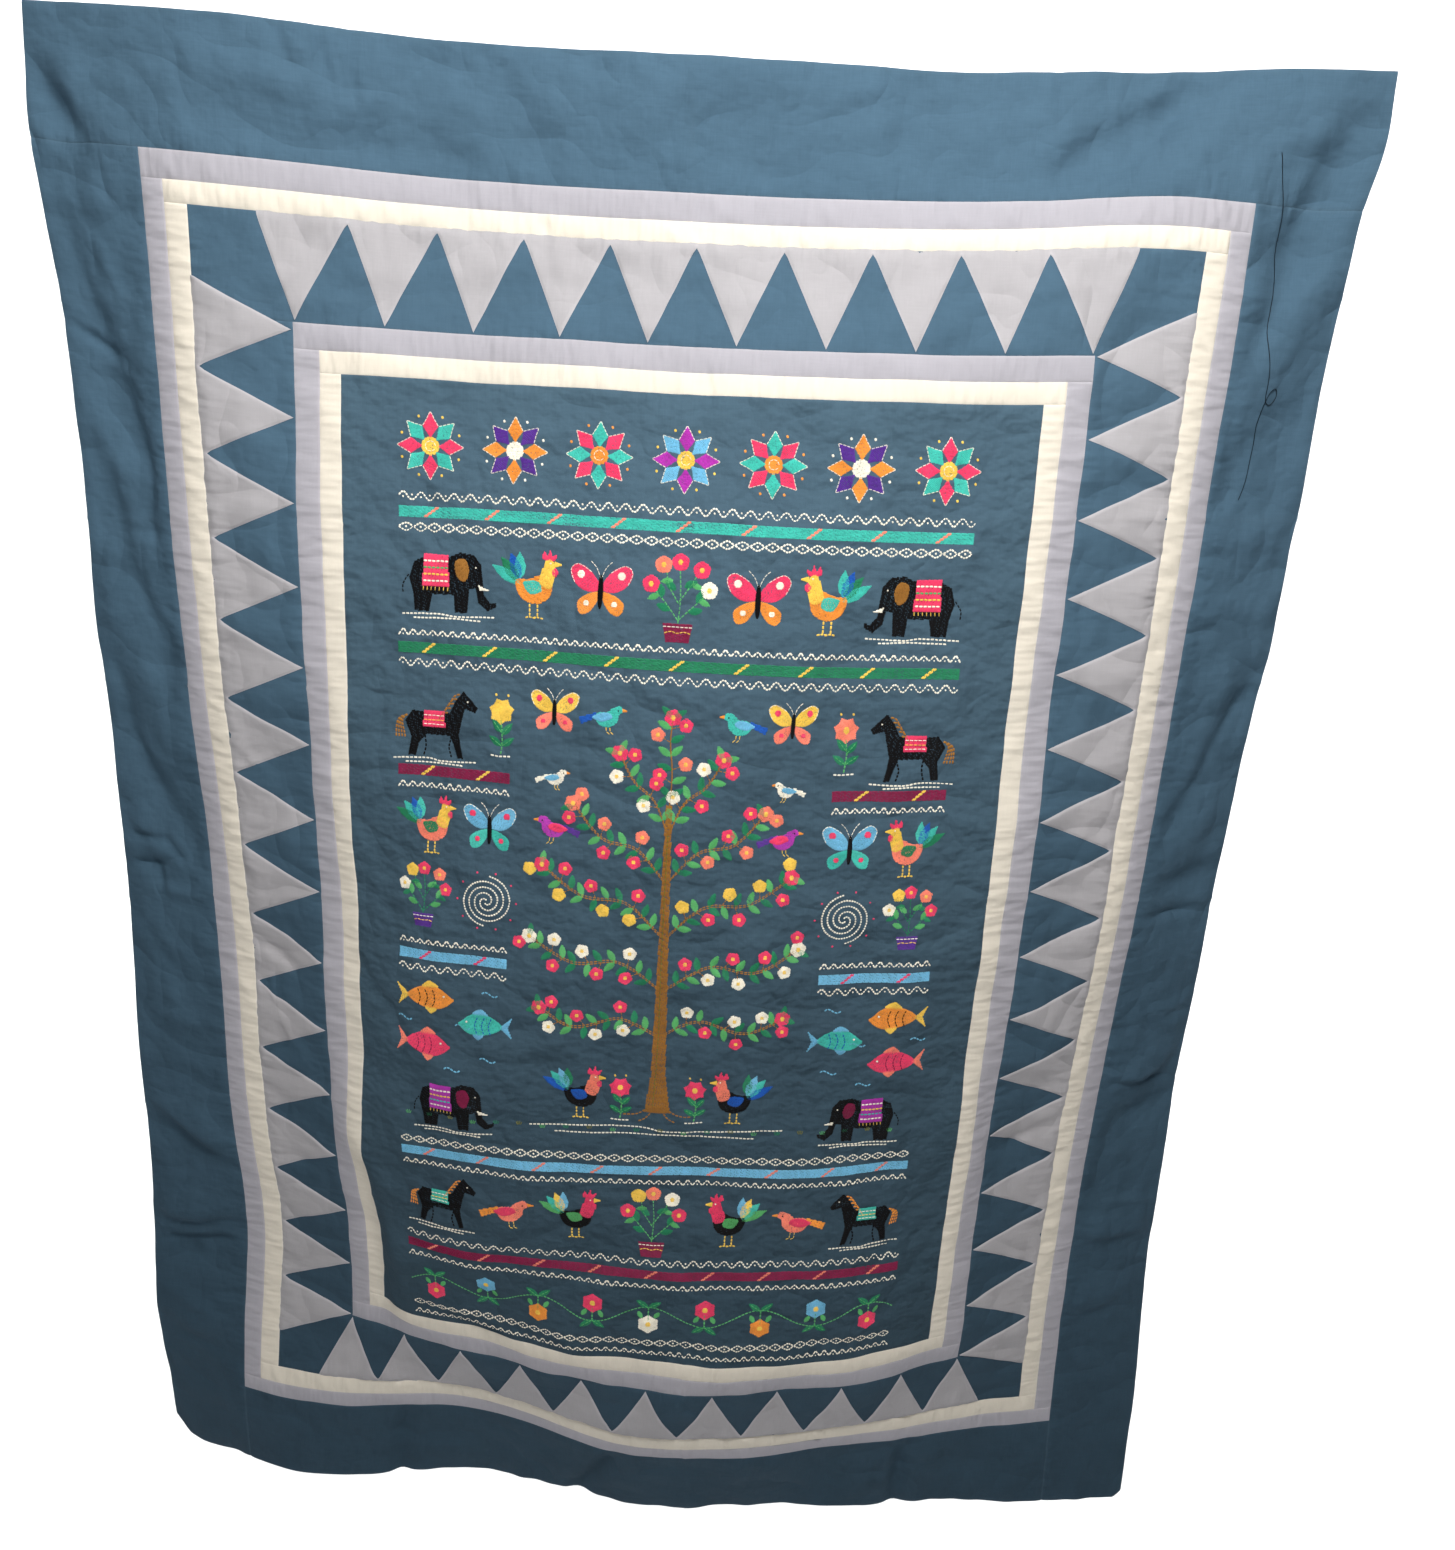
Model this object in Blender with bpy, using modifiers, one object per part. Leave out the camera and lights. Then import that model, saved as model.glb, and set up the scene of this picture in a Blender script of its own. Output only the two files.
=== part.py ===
# Story cloth: a patchwork and embroidered hanging, held up at its two top corners
#
# Every piece is cut flat, in the cloth's own measures: across runs from the middle of the
# cloth to the right, down runs from its top edge. The piece is then laid on one hanging
# surface, which keeps those lengths, and given its thickness.
# The origin is the middle of the top edge. +Z is up, and the embroidered face looks along -Y.
# All sizes are in metres.

import bmesh
import bpy
import numpy as np

# Flat sizes of the cut pieces
FIELD_WIDTH = 0.735            # sawtooth field, between the outer cream strips
FIELD_HEIGHT = 1.035
SIDE_BORDER = 0.088
END_BORDER = 0.090             # top and bottom borders
OUTER_LAVENDER = 0.019
OUTER_CREAM = 0.016
BAND = 0.074                   # depth of the sawtooth band
INNER_LAVENDER = 0.0185
INNER_CREAM = 0.016

# Overall flat size
OUTER_STRIPS = OUTER_LAVENDER + OUTER_CREAM
CLOTH_WIDTH = FIELD_WIDTH + 2 * (OUTER_STRIPS + SIDE_BORDER)
CLOTH_HEIGHT = FIELD_HEIGHT + 2 * (OUTER_STRIPS + END_BORDER)
HALF_WIDTH = CLOTH_WIDTH / 2
FIELD_TOP = END_BORDER + OUTER_STRIPS
FIELD_BOTTOM = FIELD_TOP + FIELD_HEIGHT
FIELD_RIGHT = FIELD_WIDTH / 2

# Layers and seams
CLOTH_THICK = 0.0010
TOOTH_THICK = 0.0010
SEAM_GAP = 0.0004              # between pieces sewn edge to edge
LAYER_GAP = 0.0007             # between the toothed strip and the band under it
VALLEY = 0.0025                # whole cloth left between two teeth, at the strip's outer edge

# Lavender teeth on each side of the field. Their bases start at the band's outer edge, and
# their tips, spaced a little unevenly against the bases, reach its inner edge.
TEETH = {
    "top": {"count": 10, "start": 0.0500, "pitch": 0.0635, "first_tip": 0.0758, "tip_pitch": 0.0648},
    "bottom": {"count": 11, "start": 0.0425, "pitch": 0.0590, "first_tip": 0.0744, "tip_pitch": 0.0586},
    "left": {"count": 15, "start": 0.0480, "pitch": 0.0631, "first_tip": 0.0795, "tip_pitch": 0.0628},
    "right": {"count": 16, "start": 0.0410, "pitch": 0.0593, "first_tip": 0.0748, "tip_pitch": 0.0589},
}

ALL_SIDES = ("left", "right", "top", "bottom")

# Longest side of a mesh cell, and how near a tooth's corner may lie to a cell line
CELL = 0.027
LINE_SNAP = 0.0003

# The hanging surface: how far each section of the cloth stands forward of the upright plane
# through the middle of its top edge, at named places across it. A row for each section down.
SECTION_PLACES = (-1.0, -0.72, -0.36, 0.0, 0.36, 0.72, 1.0)  # shares of half the width
SECTIONS = (
    # down, left edge, left border, left panel, middle, right panel, right border, right edge
    (0.000, -0.020, 0.010, -0.010, 0.000, -0.015, -0.025, -0.015),
    (0.110, -0.020, 0.010, -0.010, 0.000, 0.005, 0.005, -0.025),
    (0.220, -0.030, 0.010, 0.010, 0.025, 0.030, 0.010, -0.030),
    (0.430, -0.030, 0.015, 0.045, 0.075, 0.050, 0.020, -0.030),
    (0.650, -0.035, 0.005, 0.065, 0.090, 0.065, 0.020, -0.040),
    (0.860, -0.030, 0.000, 0.070, 0.080, 0.060, 0.000, -0.050),
    (1.070, -0.030, -0.020, 0.040, 0.080, 0.060, -0.005, -0.045),
    (1.180, -0.045, -0.015, 0.000, 0.050, 0.025, -0.020, -0.045),
    (1.285, -0.065, -0.020, -0.020, 0.015, 0.000, -0.020, -0.040),
)
CORNER_LIFT = 0.015            # of the two held corners above the middle of the top edge
LIFT_FADE = 1.2                # how far down that lift dies away

# Soft folds: from one place to another, across and down, half width, and how far forward
FOLDS = {
    "left corner pinch": (-0.484, 0.030, -0.435, 0.085, 0.015, -0.011),
    "left corner ridge": (-0.470, 0.010, -0.400, 0.060, 0.016, 0.006),
    "left trough, upper": (-0.482, 0.120, -0.438, 0.245, 0.017, -0.009),
    "left trough, lower": (-0.432, 0.260, -0.402, 0.440, 0.017, -0.008),
    "left second trough": (-0.486, 0.310, -0.405, 0.430, 0.015, -0.006),
    "left middle crease": (-0.490, 0.650, -0.400, 0.658, 0.015, -0.007),
    "left middle ridge": (-0.455, 0.575, -0.420, 0.640, 0.015, 0.005),
    "left low ridge": (-0.484, 0.875, -0.402, 0.937, 0.017, 0.007),
    "left low trough": (-0.488, 0.980, -0.405, 0.990, 0.015, -0.005),
    "left hem swag": (-0.486, 1.035, -0.410, 1.060, 0.018, 0.006),
    "right corner trough": (0.380, 0.000, 0.250, 0.092, 0.018, -0.008),
    "right corner ridge": (0.430, 0.010, 0.330, 0.100, 0.018, 0.006),
    "right second trough": (0.468, 0.020, 0.408, 0.195, 0.018, -0.009),
    "right long fold": (0.480, 0.425, 0.400, 0.570, 0.017, -0.010),
    "right long ridge": (0.486, 0.520, 0.430, 0.600, 0.015, 0.006),
    "right middle crease": (0.490, 0.612, 0.395, 0.622, 0.014, -0.006),
    "right low crease": (0.488, 0.790, 0.435, 0.826, 0.016, -0.008),
    "right low ridge": (0.490, 0.850, 0.400, 0.836, 0.016, 0.006),
    "hem fold left": (-0.237, 1.210, -0.247, 1.300, 0.019, -0.009),
    "hem fold middle": (-0.028, 1.212, -0.066, 1.300, 0.018, -0.008),
    "hem fold right": (0.252, 1.210, 0.245, 1.300, 0.018, -0.008),
}

# Colours of the fabrics, linear
BLUE = (0.040, 0.095, 0.150)
LAVENDER = (0.500, 0.500, 0.610)
CREAM = (0.880, 0.830, 0.690)
WEAVE_ROUGHNESS = 0.85

GRID_STEP = 0.005              # of the surface's own table of places


def smooth_between(at, stations, values):
    """Cubic curve through values at stations, along the first axis."""
    stations = np.asarray(stations, float)
    values = np.asarray(values, float)
    widths = np.diff(stations)[:, None]
    slopes = np.diff(values, axis=0) / widths
    tangents = np.concatenate([slopes[:1], (slopes[1:] + slopes[:-1]) / 2, slopes[-1:]])
    i = np.clip(np.searchsorted(stations, at, side="right") - 1, 0, len(stations) - 2)
    h = widths[i]
    t = (at[:, None] - stations[i][:, None]) / h
    start = (2 * t**3 - 3 * t**2 + 1) * values[i]
    leave = (t**3 - 2 * t**2 + t) * h * tangents[i]
    end = (3 * t**2 - 2 * t**3) * values[i + 1]
    arrive = (t**3 - t**2) * h * tangents[i + 1]
    return start + leave + end + arrive


def fold(across, down, fold_row):
    """One soft trough or ridge along a line, fading out past its two ends."""
    a0, d0, a1, d1, half_width, forward = fold_row
    length = np.hypot(a1 - a0, d1 - d0)
    along = ((across - a0) * (a1 - a0) + (down - d0) * (d1 - d0)) / length
    aside = ((across - a0) * (d1 - d0) - (down - d0) * (a1 - a0)) / length
    past = np.maximum(np.maximum(-along, along - length), 0)
    return forward * np.exp(-0.5 * (aside / half_width) ** 2 - 0.5 * (past / half_width) ** 2)


def relief(across, down):
    """How far forward the cloth stands, over a grid of places."""
    table = np.array(SECTIONS)
    sections = smooth_between(down, table[:, 0], table[:, 1:])
    places = np.array(SECTION_PLACES) * HALF_WIDTH
    forward = smooth_between(across, places, sections.T).T
    grid_across, grid_down = np.meshgrid(across, down)
    for fold_row in FOLDS.values():
        forward = forward + fold(grid_across, grid_down, fold_row)
    return forward


def hanging_table():
    """Places of the hanging surface, with each length across and down kept as it was cut."""
    half_count = round(HALF_WIDTH / GRID_STEP)
    across = np.linspace(-HALF_WIDTH, HALF_WIDTH, 2 * half_count + 1)
    down = np.linspace(0, CLOTH_HEIGHT, round(CLOTH_HEIGHT / GRID_STEP) + 1)
    y = -relief(across, down)
    step_across = across[1] - across[0]
    step_down = down[1] - down[0]
    run = step_across * np.sqrt(1 - (np.diff(y, axis=1) / step_across) ** 2)
    drop = step_down * np.sqrt(1 - (np.diff(y, axis=0) / step_down) ** 2)
    x = np.pad(np.cumsum(run, axis=1), ((0, 0), (1, 0)))
    x = x - x[:, half_count : half_count + 1]
    z = -np.pad(np.cumsum(drop, axis=0), ((1, 0), (0, 0)))
    middle_dip = 1 - (across / HALF_WIDTH) ** 2
    z = z + CORNER_LIFT * (1 - middle_dip[None, :] * np.exp(-down / LIFT_FADE)[:, None])
    return np.stack([x, y, z], axis=-1)


TABLE = hanging_table()


def surface_place(across, down):
    """Place on the smooth hanging surface, for one flat place."""
    rows, columns = TABLE.shape[:2]
    f = (across + HALF_WIDTH) / CLOTH_WIDTH * (columns - 1)
    g = down / CLOTH_HEIGHT * (rows - 1)
    i = min(max(int(f), 0), columns - 2)
    j = min(max(int(g), 0), rows - 2)
    s, t = f - i, g - j
    upper = TABLE[j, i] * (1 - s) + TABLE[j, i + 1] * s
    lower = TABLE[j + 1, i] * (1 - s) + TABLE[j + 1, i + 1] * s
    return upper * (1 - t) + lower * t


def cell_lines(seams):
    """The seams with evenly spaced lines between them, none more than about a cell apart."""
    lines = [seams[0]]
    for low, high in zip(seams, seams[1:]):
        count = max(1, round((high - low) / CELL))
        lines += [low + (high - low) * (k + 1) / count for k in range(count)]
    return np.array(lines)


def seam_lines(edge, insets, near, far):
    """Flat places of the seams along one direction, from one edge of the cloth to the other."""
    inward = [near + inset for inset in insets]
    outward = [far - inset for inset in reversed(insets)]
    return [edge[0], *inward, *outward, edge[1]]


INSETS = (
    -OUTER_STRIPS,
    -OUTER_CREAM,
    0,
    BAND,
    BAND + INNER_LAVENDER,
    BAND + INNER_LAVENDER + INNER_CREAM,
)
ACROSS_LINES = cell_lines(seam_lines((-HALF_WIDTH, HALF_WIDTH), INSETS, -FIELD_RIGHT, FIELD_RIGHT))
DOWN_LINES = cell_lines(seam_lines((0, CLOTH_HEIGHT), INSETS, FIELD_TOP, FIELD_BOTTOM))
CORNERS = np.array([[surface_place(across, down) for across in ACROSS_LINES] for down in DOWN_LINES])


def facing_at_corners():
    """Direction out of the embroidered face, at each crossing of the cell lines."""
    reach = 2 * GRID_STEP
    found = np.zeros_like(CORNERS)
    for j, down in enumerate(DOWN_LINES):
        for i, across in enumerate(ACROSS_LINES):
            right = surface_place(across + reach, down) - surface_place(across - reach, down)
            up = surface_place(across, down - reach) - surface_place(across, down + reach)
            out = np.cross(right, up)
            found[j, i] = out / np.linalg.norm(out)
    return found


FACING = facing_at_corners()


def on_cell(corners, s, t):
    """Place on a cell's two flat triangles, parted from its first corner to its last."""
    first, last = corners[0, 0], corners[1, 1]
    if s > t:
        return first + s * (corners[0, 1] - first) + t * (last - corners[0, 1])
    return first + t * (corners[1, 0] - first) + s * (last - corners[1, 0])


def hang(across, down, lift):
    """Place on the cells of the hanging surface, lifted off its front by lift."""
    i = min(max(np.searchsorted(ACROSS_LINES, across, side="right") - 1, 0), len(ACROSS_LINES) - 2)
    j = min(max(np.searchsorted(DOWN_LINES, down, side="right") - 1, 0), len(DOWN_LINES) - 2)
    s = (across - ACROSS_LINES[i]) / (ACROSS_LINES[i + 1] - ACROSS_LINES[i])
    t = (down - DOWN_LINES[j]) / (DOWN_LINES[j + 1] - DOWN_LINES[j])
    place = on_cell(CORNERS[j : j + 2, i : i + 2], s, t)
    return place + lift * on_cell(FACING[j : j + 2, i : i + 2], s, t)


def part_cells(bm):
    """Splits each flat cell the way the hanging surface's cells are split."""
    for face in list(bm.faces):
        first = min(face.verts, key=lambda vert: vert.co.x + vert.co.y)
        last = max(face.verts, key=lambda vert: vert.co.x + vert.co.y)
        if not any(first in edge.verts and last in edge.verts for edge in face.edges):
            bmesh.utils.face_split(face, first, last)
    bmesh.ops.triangulate(bm, faces=bm.faces)


def add_patch(bm, columns, rows, place):
    """A grid of cells whose flat corners are place(column, row)."""
    made = bmesh.ops.create_grid(bm, x_segments=columns, y_segments=rows, size=0.5)
    for vert in made["verts"]:
        column = round((vert.co.x + 0.5) * columns)
        row = round((0.5 - vert.co.y) * rows)
        vert.co = (*place(column, row), 0)


def add_cell(bm, near, far):
    """One cell between two pairs of flat corners."""
    add_patch(bm, 1, 1, lambda column, row: (near, far)[row][column])


def cut_along(bm, lines, direction):
    """Cuts a flat piece where the cell lines square to a direction cross it."""
    for line in lines:
        everything = [*bm.verts, *bm.edges, *bm.faces]
        on_line = [line * part for part in direction]
        bmesh.ops.bisect_plane(bm, geom=everything, dist=LINE_SNAP, plane_co=on_line, plane_no=direction)


def lay_piece(name, bm, fabric, thickness, lift=0.0):
    """Lays a flat piece on the hanging surface and gives it its thickness."""
    part_cells(bm)
    for vert in bm.verts:
        vert.co = hang(vert.co.x, vert.co.y, lift)
    bmesh.ops.recalc_face_normals(bm, faces=bm.faces)
    if sum(face.normal.y for face in bm.faces) > 0:
        bmesh.ops.reverse_faces(bm, faces=bm.faces)
    mesh = bpy.data.meshes.new(name)
    bm.to_mesh(mesh)
    bm.free()
    mesh.shade_smooth()
    mesh.materials.append(fabric)
    piece = bpy.data.objects.new(name, mesh)
    cloth_collection.objects.link(piece)
    solid = piece.modifiers.new("Thickness", "SOLIDIFY")
    solid.thickness = thickness
    solid.offset = 0


def lines_inside(lines, low, high):
    """The cell lines from one seam to another."""
    return [line for line in lines if low - LINE_SNAP < line < high + LINE_SNAP]


def cut_rectangle(name, box, sewn, fabric):
    """A straight piece. Each sewn side is drawn in by half the seam gap."""
    left, top, right, bottom = box
    across = lines_inside(ACROSS_LINES, left, right)
    down = lines_inside(DOWN_LINES, top, bottom)
    across[0] += SEAM_GAP / 2 * ("left" in sewn)
    across[-1] -= SEAM_GAP / 2 * ("right" in sewn)
    down[0] += SEAM_GAP / 2 * ("top" in sewn)
    down[-1] -= SEAM_GAP / 2 * ("bottom" in sewn)
    bm = bmesh.new()
    add_patch(bm, len(across) - 1, len(down) - 1, lambda column, row: (across[column], down[row]))
    lay_piece(name, bm, fabric, CLOTH_THICK)


def frame_box(inset):
    """Left, top, right and bottom of a frame line, drawn in from the sawtooth field's edge."""
    return (
        -FIELD_RIGHT + inset,
        FIELD_TOP + inset,
        FIELD_RIGHT - inset,
        FIELD_BOTTOM - inset,
    )


def cut_frame(stem, inset, width, fabric):
    """Four strips around a frame line. The top and bottom ones run the full width."""
    left, top, right, bottom = frame_box(inset)
    cut_rectangle(f"{stem}_top", (left, top, right, top + width), ALL_SIDES, fabric)
    cut_rectangle(f"{stem}_bottom", (left, bottom - width, right, bottom), ALL_SIDES, fabric)
    cut_rectangle(f"{stem}_left", (left, top + width, left + width, bottom - width), ALL_SIDES, fabric)
    cut_rectangle(f"{stem}_right", (right - width, top + width, right, bottom - width), ALL_SIDES, fabric)


def band_place(side, along, depth):
    """Flat place on the sawtooth band: along its outer edge, and inward from that edge."""
    if side == "top":
        return -FIELD_RIGHT + along, FIELD_TOP + depth
    if side == "bottom":
        return -FIELD_RIGHT + along, FIELD_BOTTOM - depth
    if side == "left":
        return -FIELD_RIGHT + depth, FIELD_TOP + along
    return FIELD_RIGHT - depth, FIELD_TOP + along


def cut_teeth(side, fabric):
    """The toothed lavender strip, which lies over the blue band."""
    row = TEETH[side]
    edge_depth = SEAM_GAP / 2
    bm = bmesh.new()
    for k in range(row["count"]):
        begin = row["start"] + k * row["pitch"]
        end = begin + row["pitch"]
        tip = row["first_tip"] + k * row["tip_pitch"]
        edge = [band_place(side, along, edge_depth) for along in (begin, end)]
        base = [band_place(side, along, VALLEY) for along in (begin, end)]
        point = [band_place(side, along, BAND - edge_depth) for along in (tip, tip)]
        add_cell(bm, edge, base)
        add_cell(bm, base, point)
    bmesh.ops.remove_doubles(bm, verts=bm.verts, dist=LINE_SNAP / 10)
    cut_along(bm, ACROSS_LINES, (1, 0, 0))
    cut_along(bm, DOWN_LINES, (0, 1, 0))
    lift = CLOTH_THICK / 2 + LAYER_GAP + TOOTH_THICK / 2
    lay_piece(f"band_teeth_{side}", bm, fabric, TOOTH_THICK, lift)


def fabric(name, colour):
    """A plain woven cotton."""
    made = bpy.data.materials.new(name)
    made.use_nodes = True
    shader = made.node_tree.nodes["Principled BSDF"]
    shader.inputs["Base Color"].default_value = (*colour, 1)
    shader.inputs["Roughness"].default_value = WEAVE_ROUGHNESS
    shader.inputs["Metallic"].default_value = 0
    made.diffuse_color = (*colour, 1)
    return made


def cut_borders(cotton):
    """The outer border: top and sides first, the bottom piece between the sides."""
    left, top, right, bottom = frame_box(-OUTER_STRIPS)
    edge = HALF_WIDTH
    cut_rectangle("border_top", (-edge, 0, edge, top), ("bottom",), cotton)
    cut_rectangle("border_left", (-edge, top, left, CLOTH_HEIGHT), ("top", "right"), cotton)
    cut_rectangle("border_right", (right, top, edge, CLOTH_HEIGHT), ("top", "left"), cotton)
    cut_rectangle("border_bottom", (left, bottom, right, CLOTH_HEIGHT), ("left", "right", "top"), cotton)


for old in list(bpy.data.objects):
    bpy.data.objects.remove(old)
cloth_collection = bpy.data.collections.new("story_cloth")
bpy.context.scene.collection.children.link(cloth_collection)

cut_borders(fabric("border_blue_cotton", BLUE))
cut_frame("lavender_outer", -OUTER_STRIPS, OUTER_LAVENDER, fabric("outer_lavender_cotton", LAVENDER))
cut_frame("cream_outer", -OUTER_CREAM, OUTER_CREAM, fabric("outer_cream_cotton", CREAM))
cut_frame("band_ground", 0, BAND, fabric("band_blue_cotton", BLUE))
tooth_lavender = fabric("tooth_lavender_cotton", LAVENDER)
for side_name in TEETH:
    cut_teeth(side_name, tooth_lavender)
cut_frame("lavender_inner", BAND, INNER_LAVENDER, fabric("inner_lavender_cotton", LAVENDER))
cut_frame("cream_inner", BAND + INNER_LAVENDER, INNER_CREAM, fabric("inner_cream_cotton", CREAM))
cut_rectangle("centre_panel", frame_box(INSETS[-1]), ALL_SIDES, fabric("panel_blue_cotton", BLUE))
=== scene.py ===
# Looks of the story cloth: fine sheets on the solids' hanging surface, and the embroidery
#
# Flat places on the cloth are written as across (from its middle to the right) and down
# (from its top edge), in metres, as in the solids. Every sheet is laid on the same hanging
# surface as the solids, with the small relief that they leave out.

import math

import bpy
import numpy as np
from mathutils import Matrix, Vector


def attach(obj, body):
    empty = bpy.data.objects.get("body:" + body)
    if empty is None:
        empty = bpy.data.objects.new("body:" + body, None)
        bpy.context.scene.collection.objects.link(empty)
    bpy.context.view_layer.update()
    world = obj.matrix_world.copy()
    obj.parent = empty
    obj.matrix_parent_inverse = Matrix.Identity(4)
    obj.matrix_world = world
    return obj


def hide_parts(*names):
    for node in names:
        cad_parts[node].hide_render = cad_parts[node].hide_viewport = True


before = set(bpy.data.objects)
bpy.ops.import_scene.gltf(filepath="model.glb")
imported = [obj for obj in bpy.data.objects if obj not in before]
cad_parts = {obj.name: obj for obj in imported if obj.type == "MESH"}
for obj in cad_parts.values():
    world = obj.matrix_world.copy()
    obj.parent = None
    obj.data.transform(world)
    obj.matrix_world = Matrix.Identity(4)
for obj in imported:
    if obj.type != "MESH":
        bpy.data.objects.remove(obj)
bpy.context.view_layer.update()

# Flat sizes of the cut pieces
FIELD_WIDTH = 0.735
FIELD_HEIGHT = 1.035
SIDE_BORDER = 0.088
END_BORDER = 0.090
OUTER_LAVENDER = 0.019
OUTER_CREAM = 0.016
BAND = 0.074
INNER_LAVENDER = 0.0185
INNER_CREAM = 0.016
OUTER_STRIPS = OUTER_LAVENDER + OUTER_CREAM
INNER_STRIPS = INNER_LAVENDER + INNER_CREAM
CLOTH_WIDTH = FIELD_WIDTH + 2 * (OUTER_STRIPS + SIDE_BORDER)
CLOTH_HEIGHT = FIELD_HEIGHT + 2 * (OUTER_STRIPS + END_BORDER)
HALF_WIDTH = CLOTH_WIDTH / 2
FIELD_TOP = END_BORDER + OUTER_STRIPS
FIELD_BOTTOM = FIELD_TOP + FIELD_HEIGHT
FIELD_RIGHT = FIELD_WIDTH / 2
ALL_SIDES = ("left", "right", "top", "bottom")

# Widths of the outer cream strips as sewn
CREAM_WIDTHS = {"top": 0.0155, "bottom": 0.0190, "left": 0.0180, "right": 0.0178}
# Lavender teeth on each side of the field, and the depth of the valleys between them
VALLEY = 0.0025
TEETH = {
    "top": {"count": 10, "start": 0.0500, "pitch": 0.0635, "first_tip": 0.0758, "tip_pitch": 0.0648},
    "bottom": {"count": 11, "start": 0.0425, "pitch": 0.0590, "first_tip": 0.0744, "tip_pitch": 0.0586},
    "left": {"count": 15, "start": 0.0480, "pitch": 0.0631, "first_tip": 0.0795, "tip_pitch": 0.0628},
    "right": {"count": 16, "start": 0.0410, "pitch": 0.0593, "first_tip": 0.0748, "tip_pitch": 0.0589},
}

# The hanging surface, as in the solids
SECTION_PLACES = (-1.0, -0.72, -0.36, 0.0, 0.36, 0.72, 1.0)
SECTIONS = (
    # down, left edge, left border, left panel, middle, right panel, right border, right edge
    (0.000, -0.020, 0.010, -0.010, 0.000, -0.015, -0.025, -0.015),
    (0.110, -0.020, 0.010, -0.010, 0.000, 0.005, 0.005, -0.025),
    (0.220, -0.030, 0.010, 0.010, 0.025, 0.030, 0.010, -0.030),
    (0.430, -0.030, 0.015, 0.045, 0.075, 0.050, 0.020, -0.030),
    (0.650, -0.035, 0.005, 0.065, 0.090, 0.065, 0.020, -0.040),
    (0.860, -0.030, 0.000, 0.070, 0.080, 0.060, 0.000, -0.050),
    (1.070, -0.030, -0.020, 0.040, 0.080, 0.060, -0.005, -0.045),
    (1.180, -0.045, -0.015, 0.000, 0.050, 0.025, -0.020, -0.045),
    (1.285, -0.065, -0.020, -0.020, 0.015, 0.000, -0.020, -0.040),
)
CORNER_LIFT = 0.015
LIFT_FADE = 1.2
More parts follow.
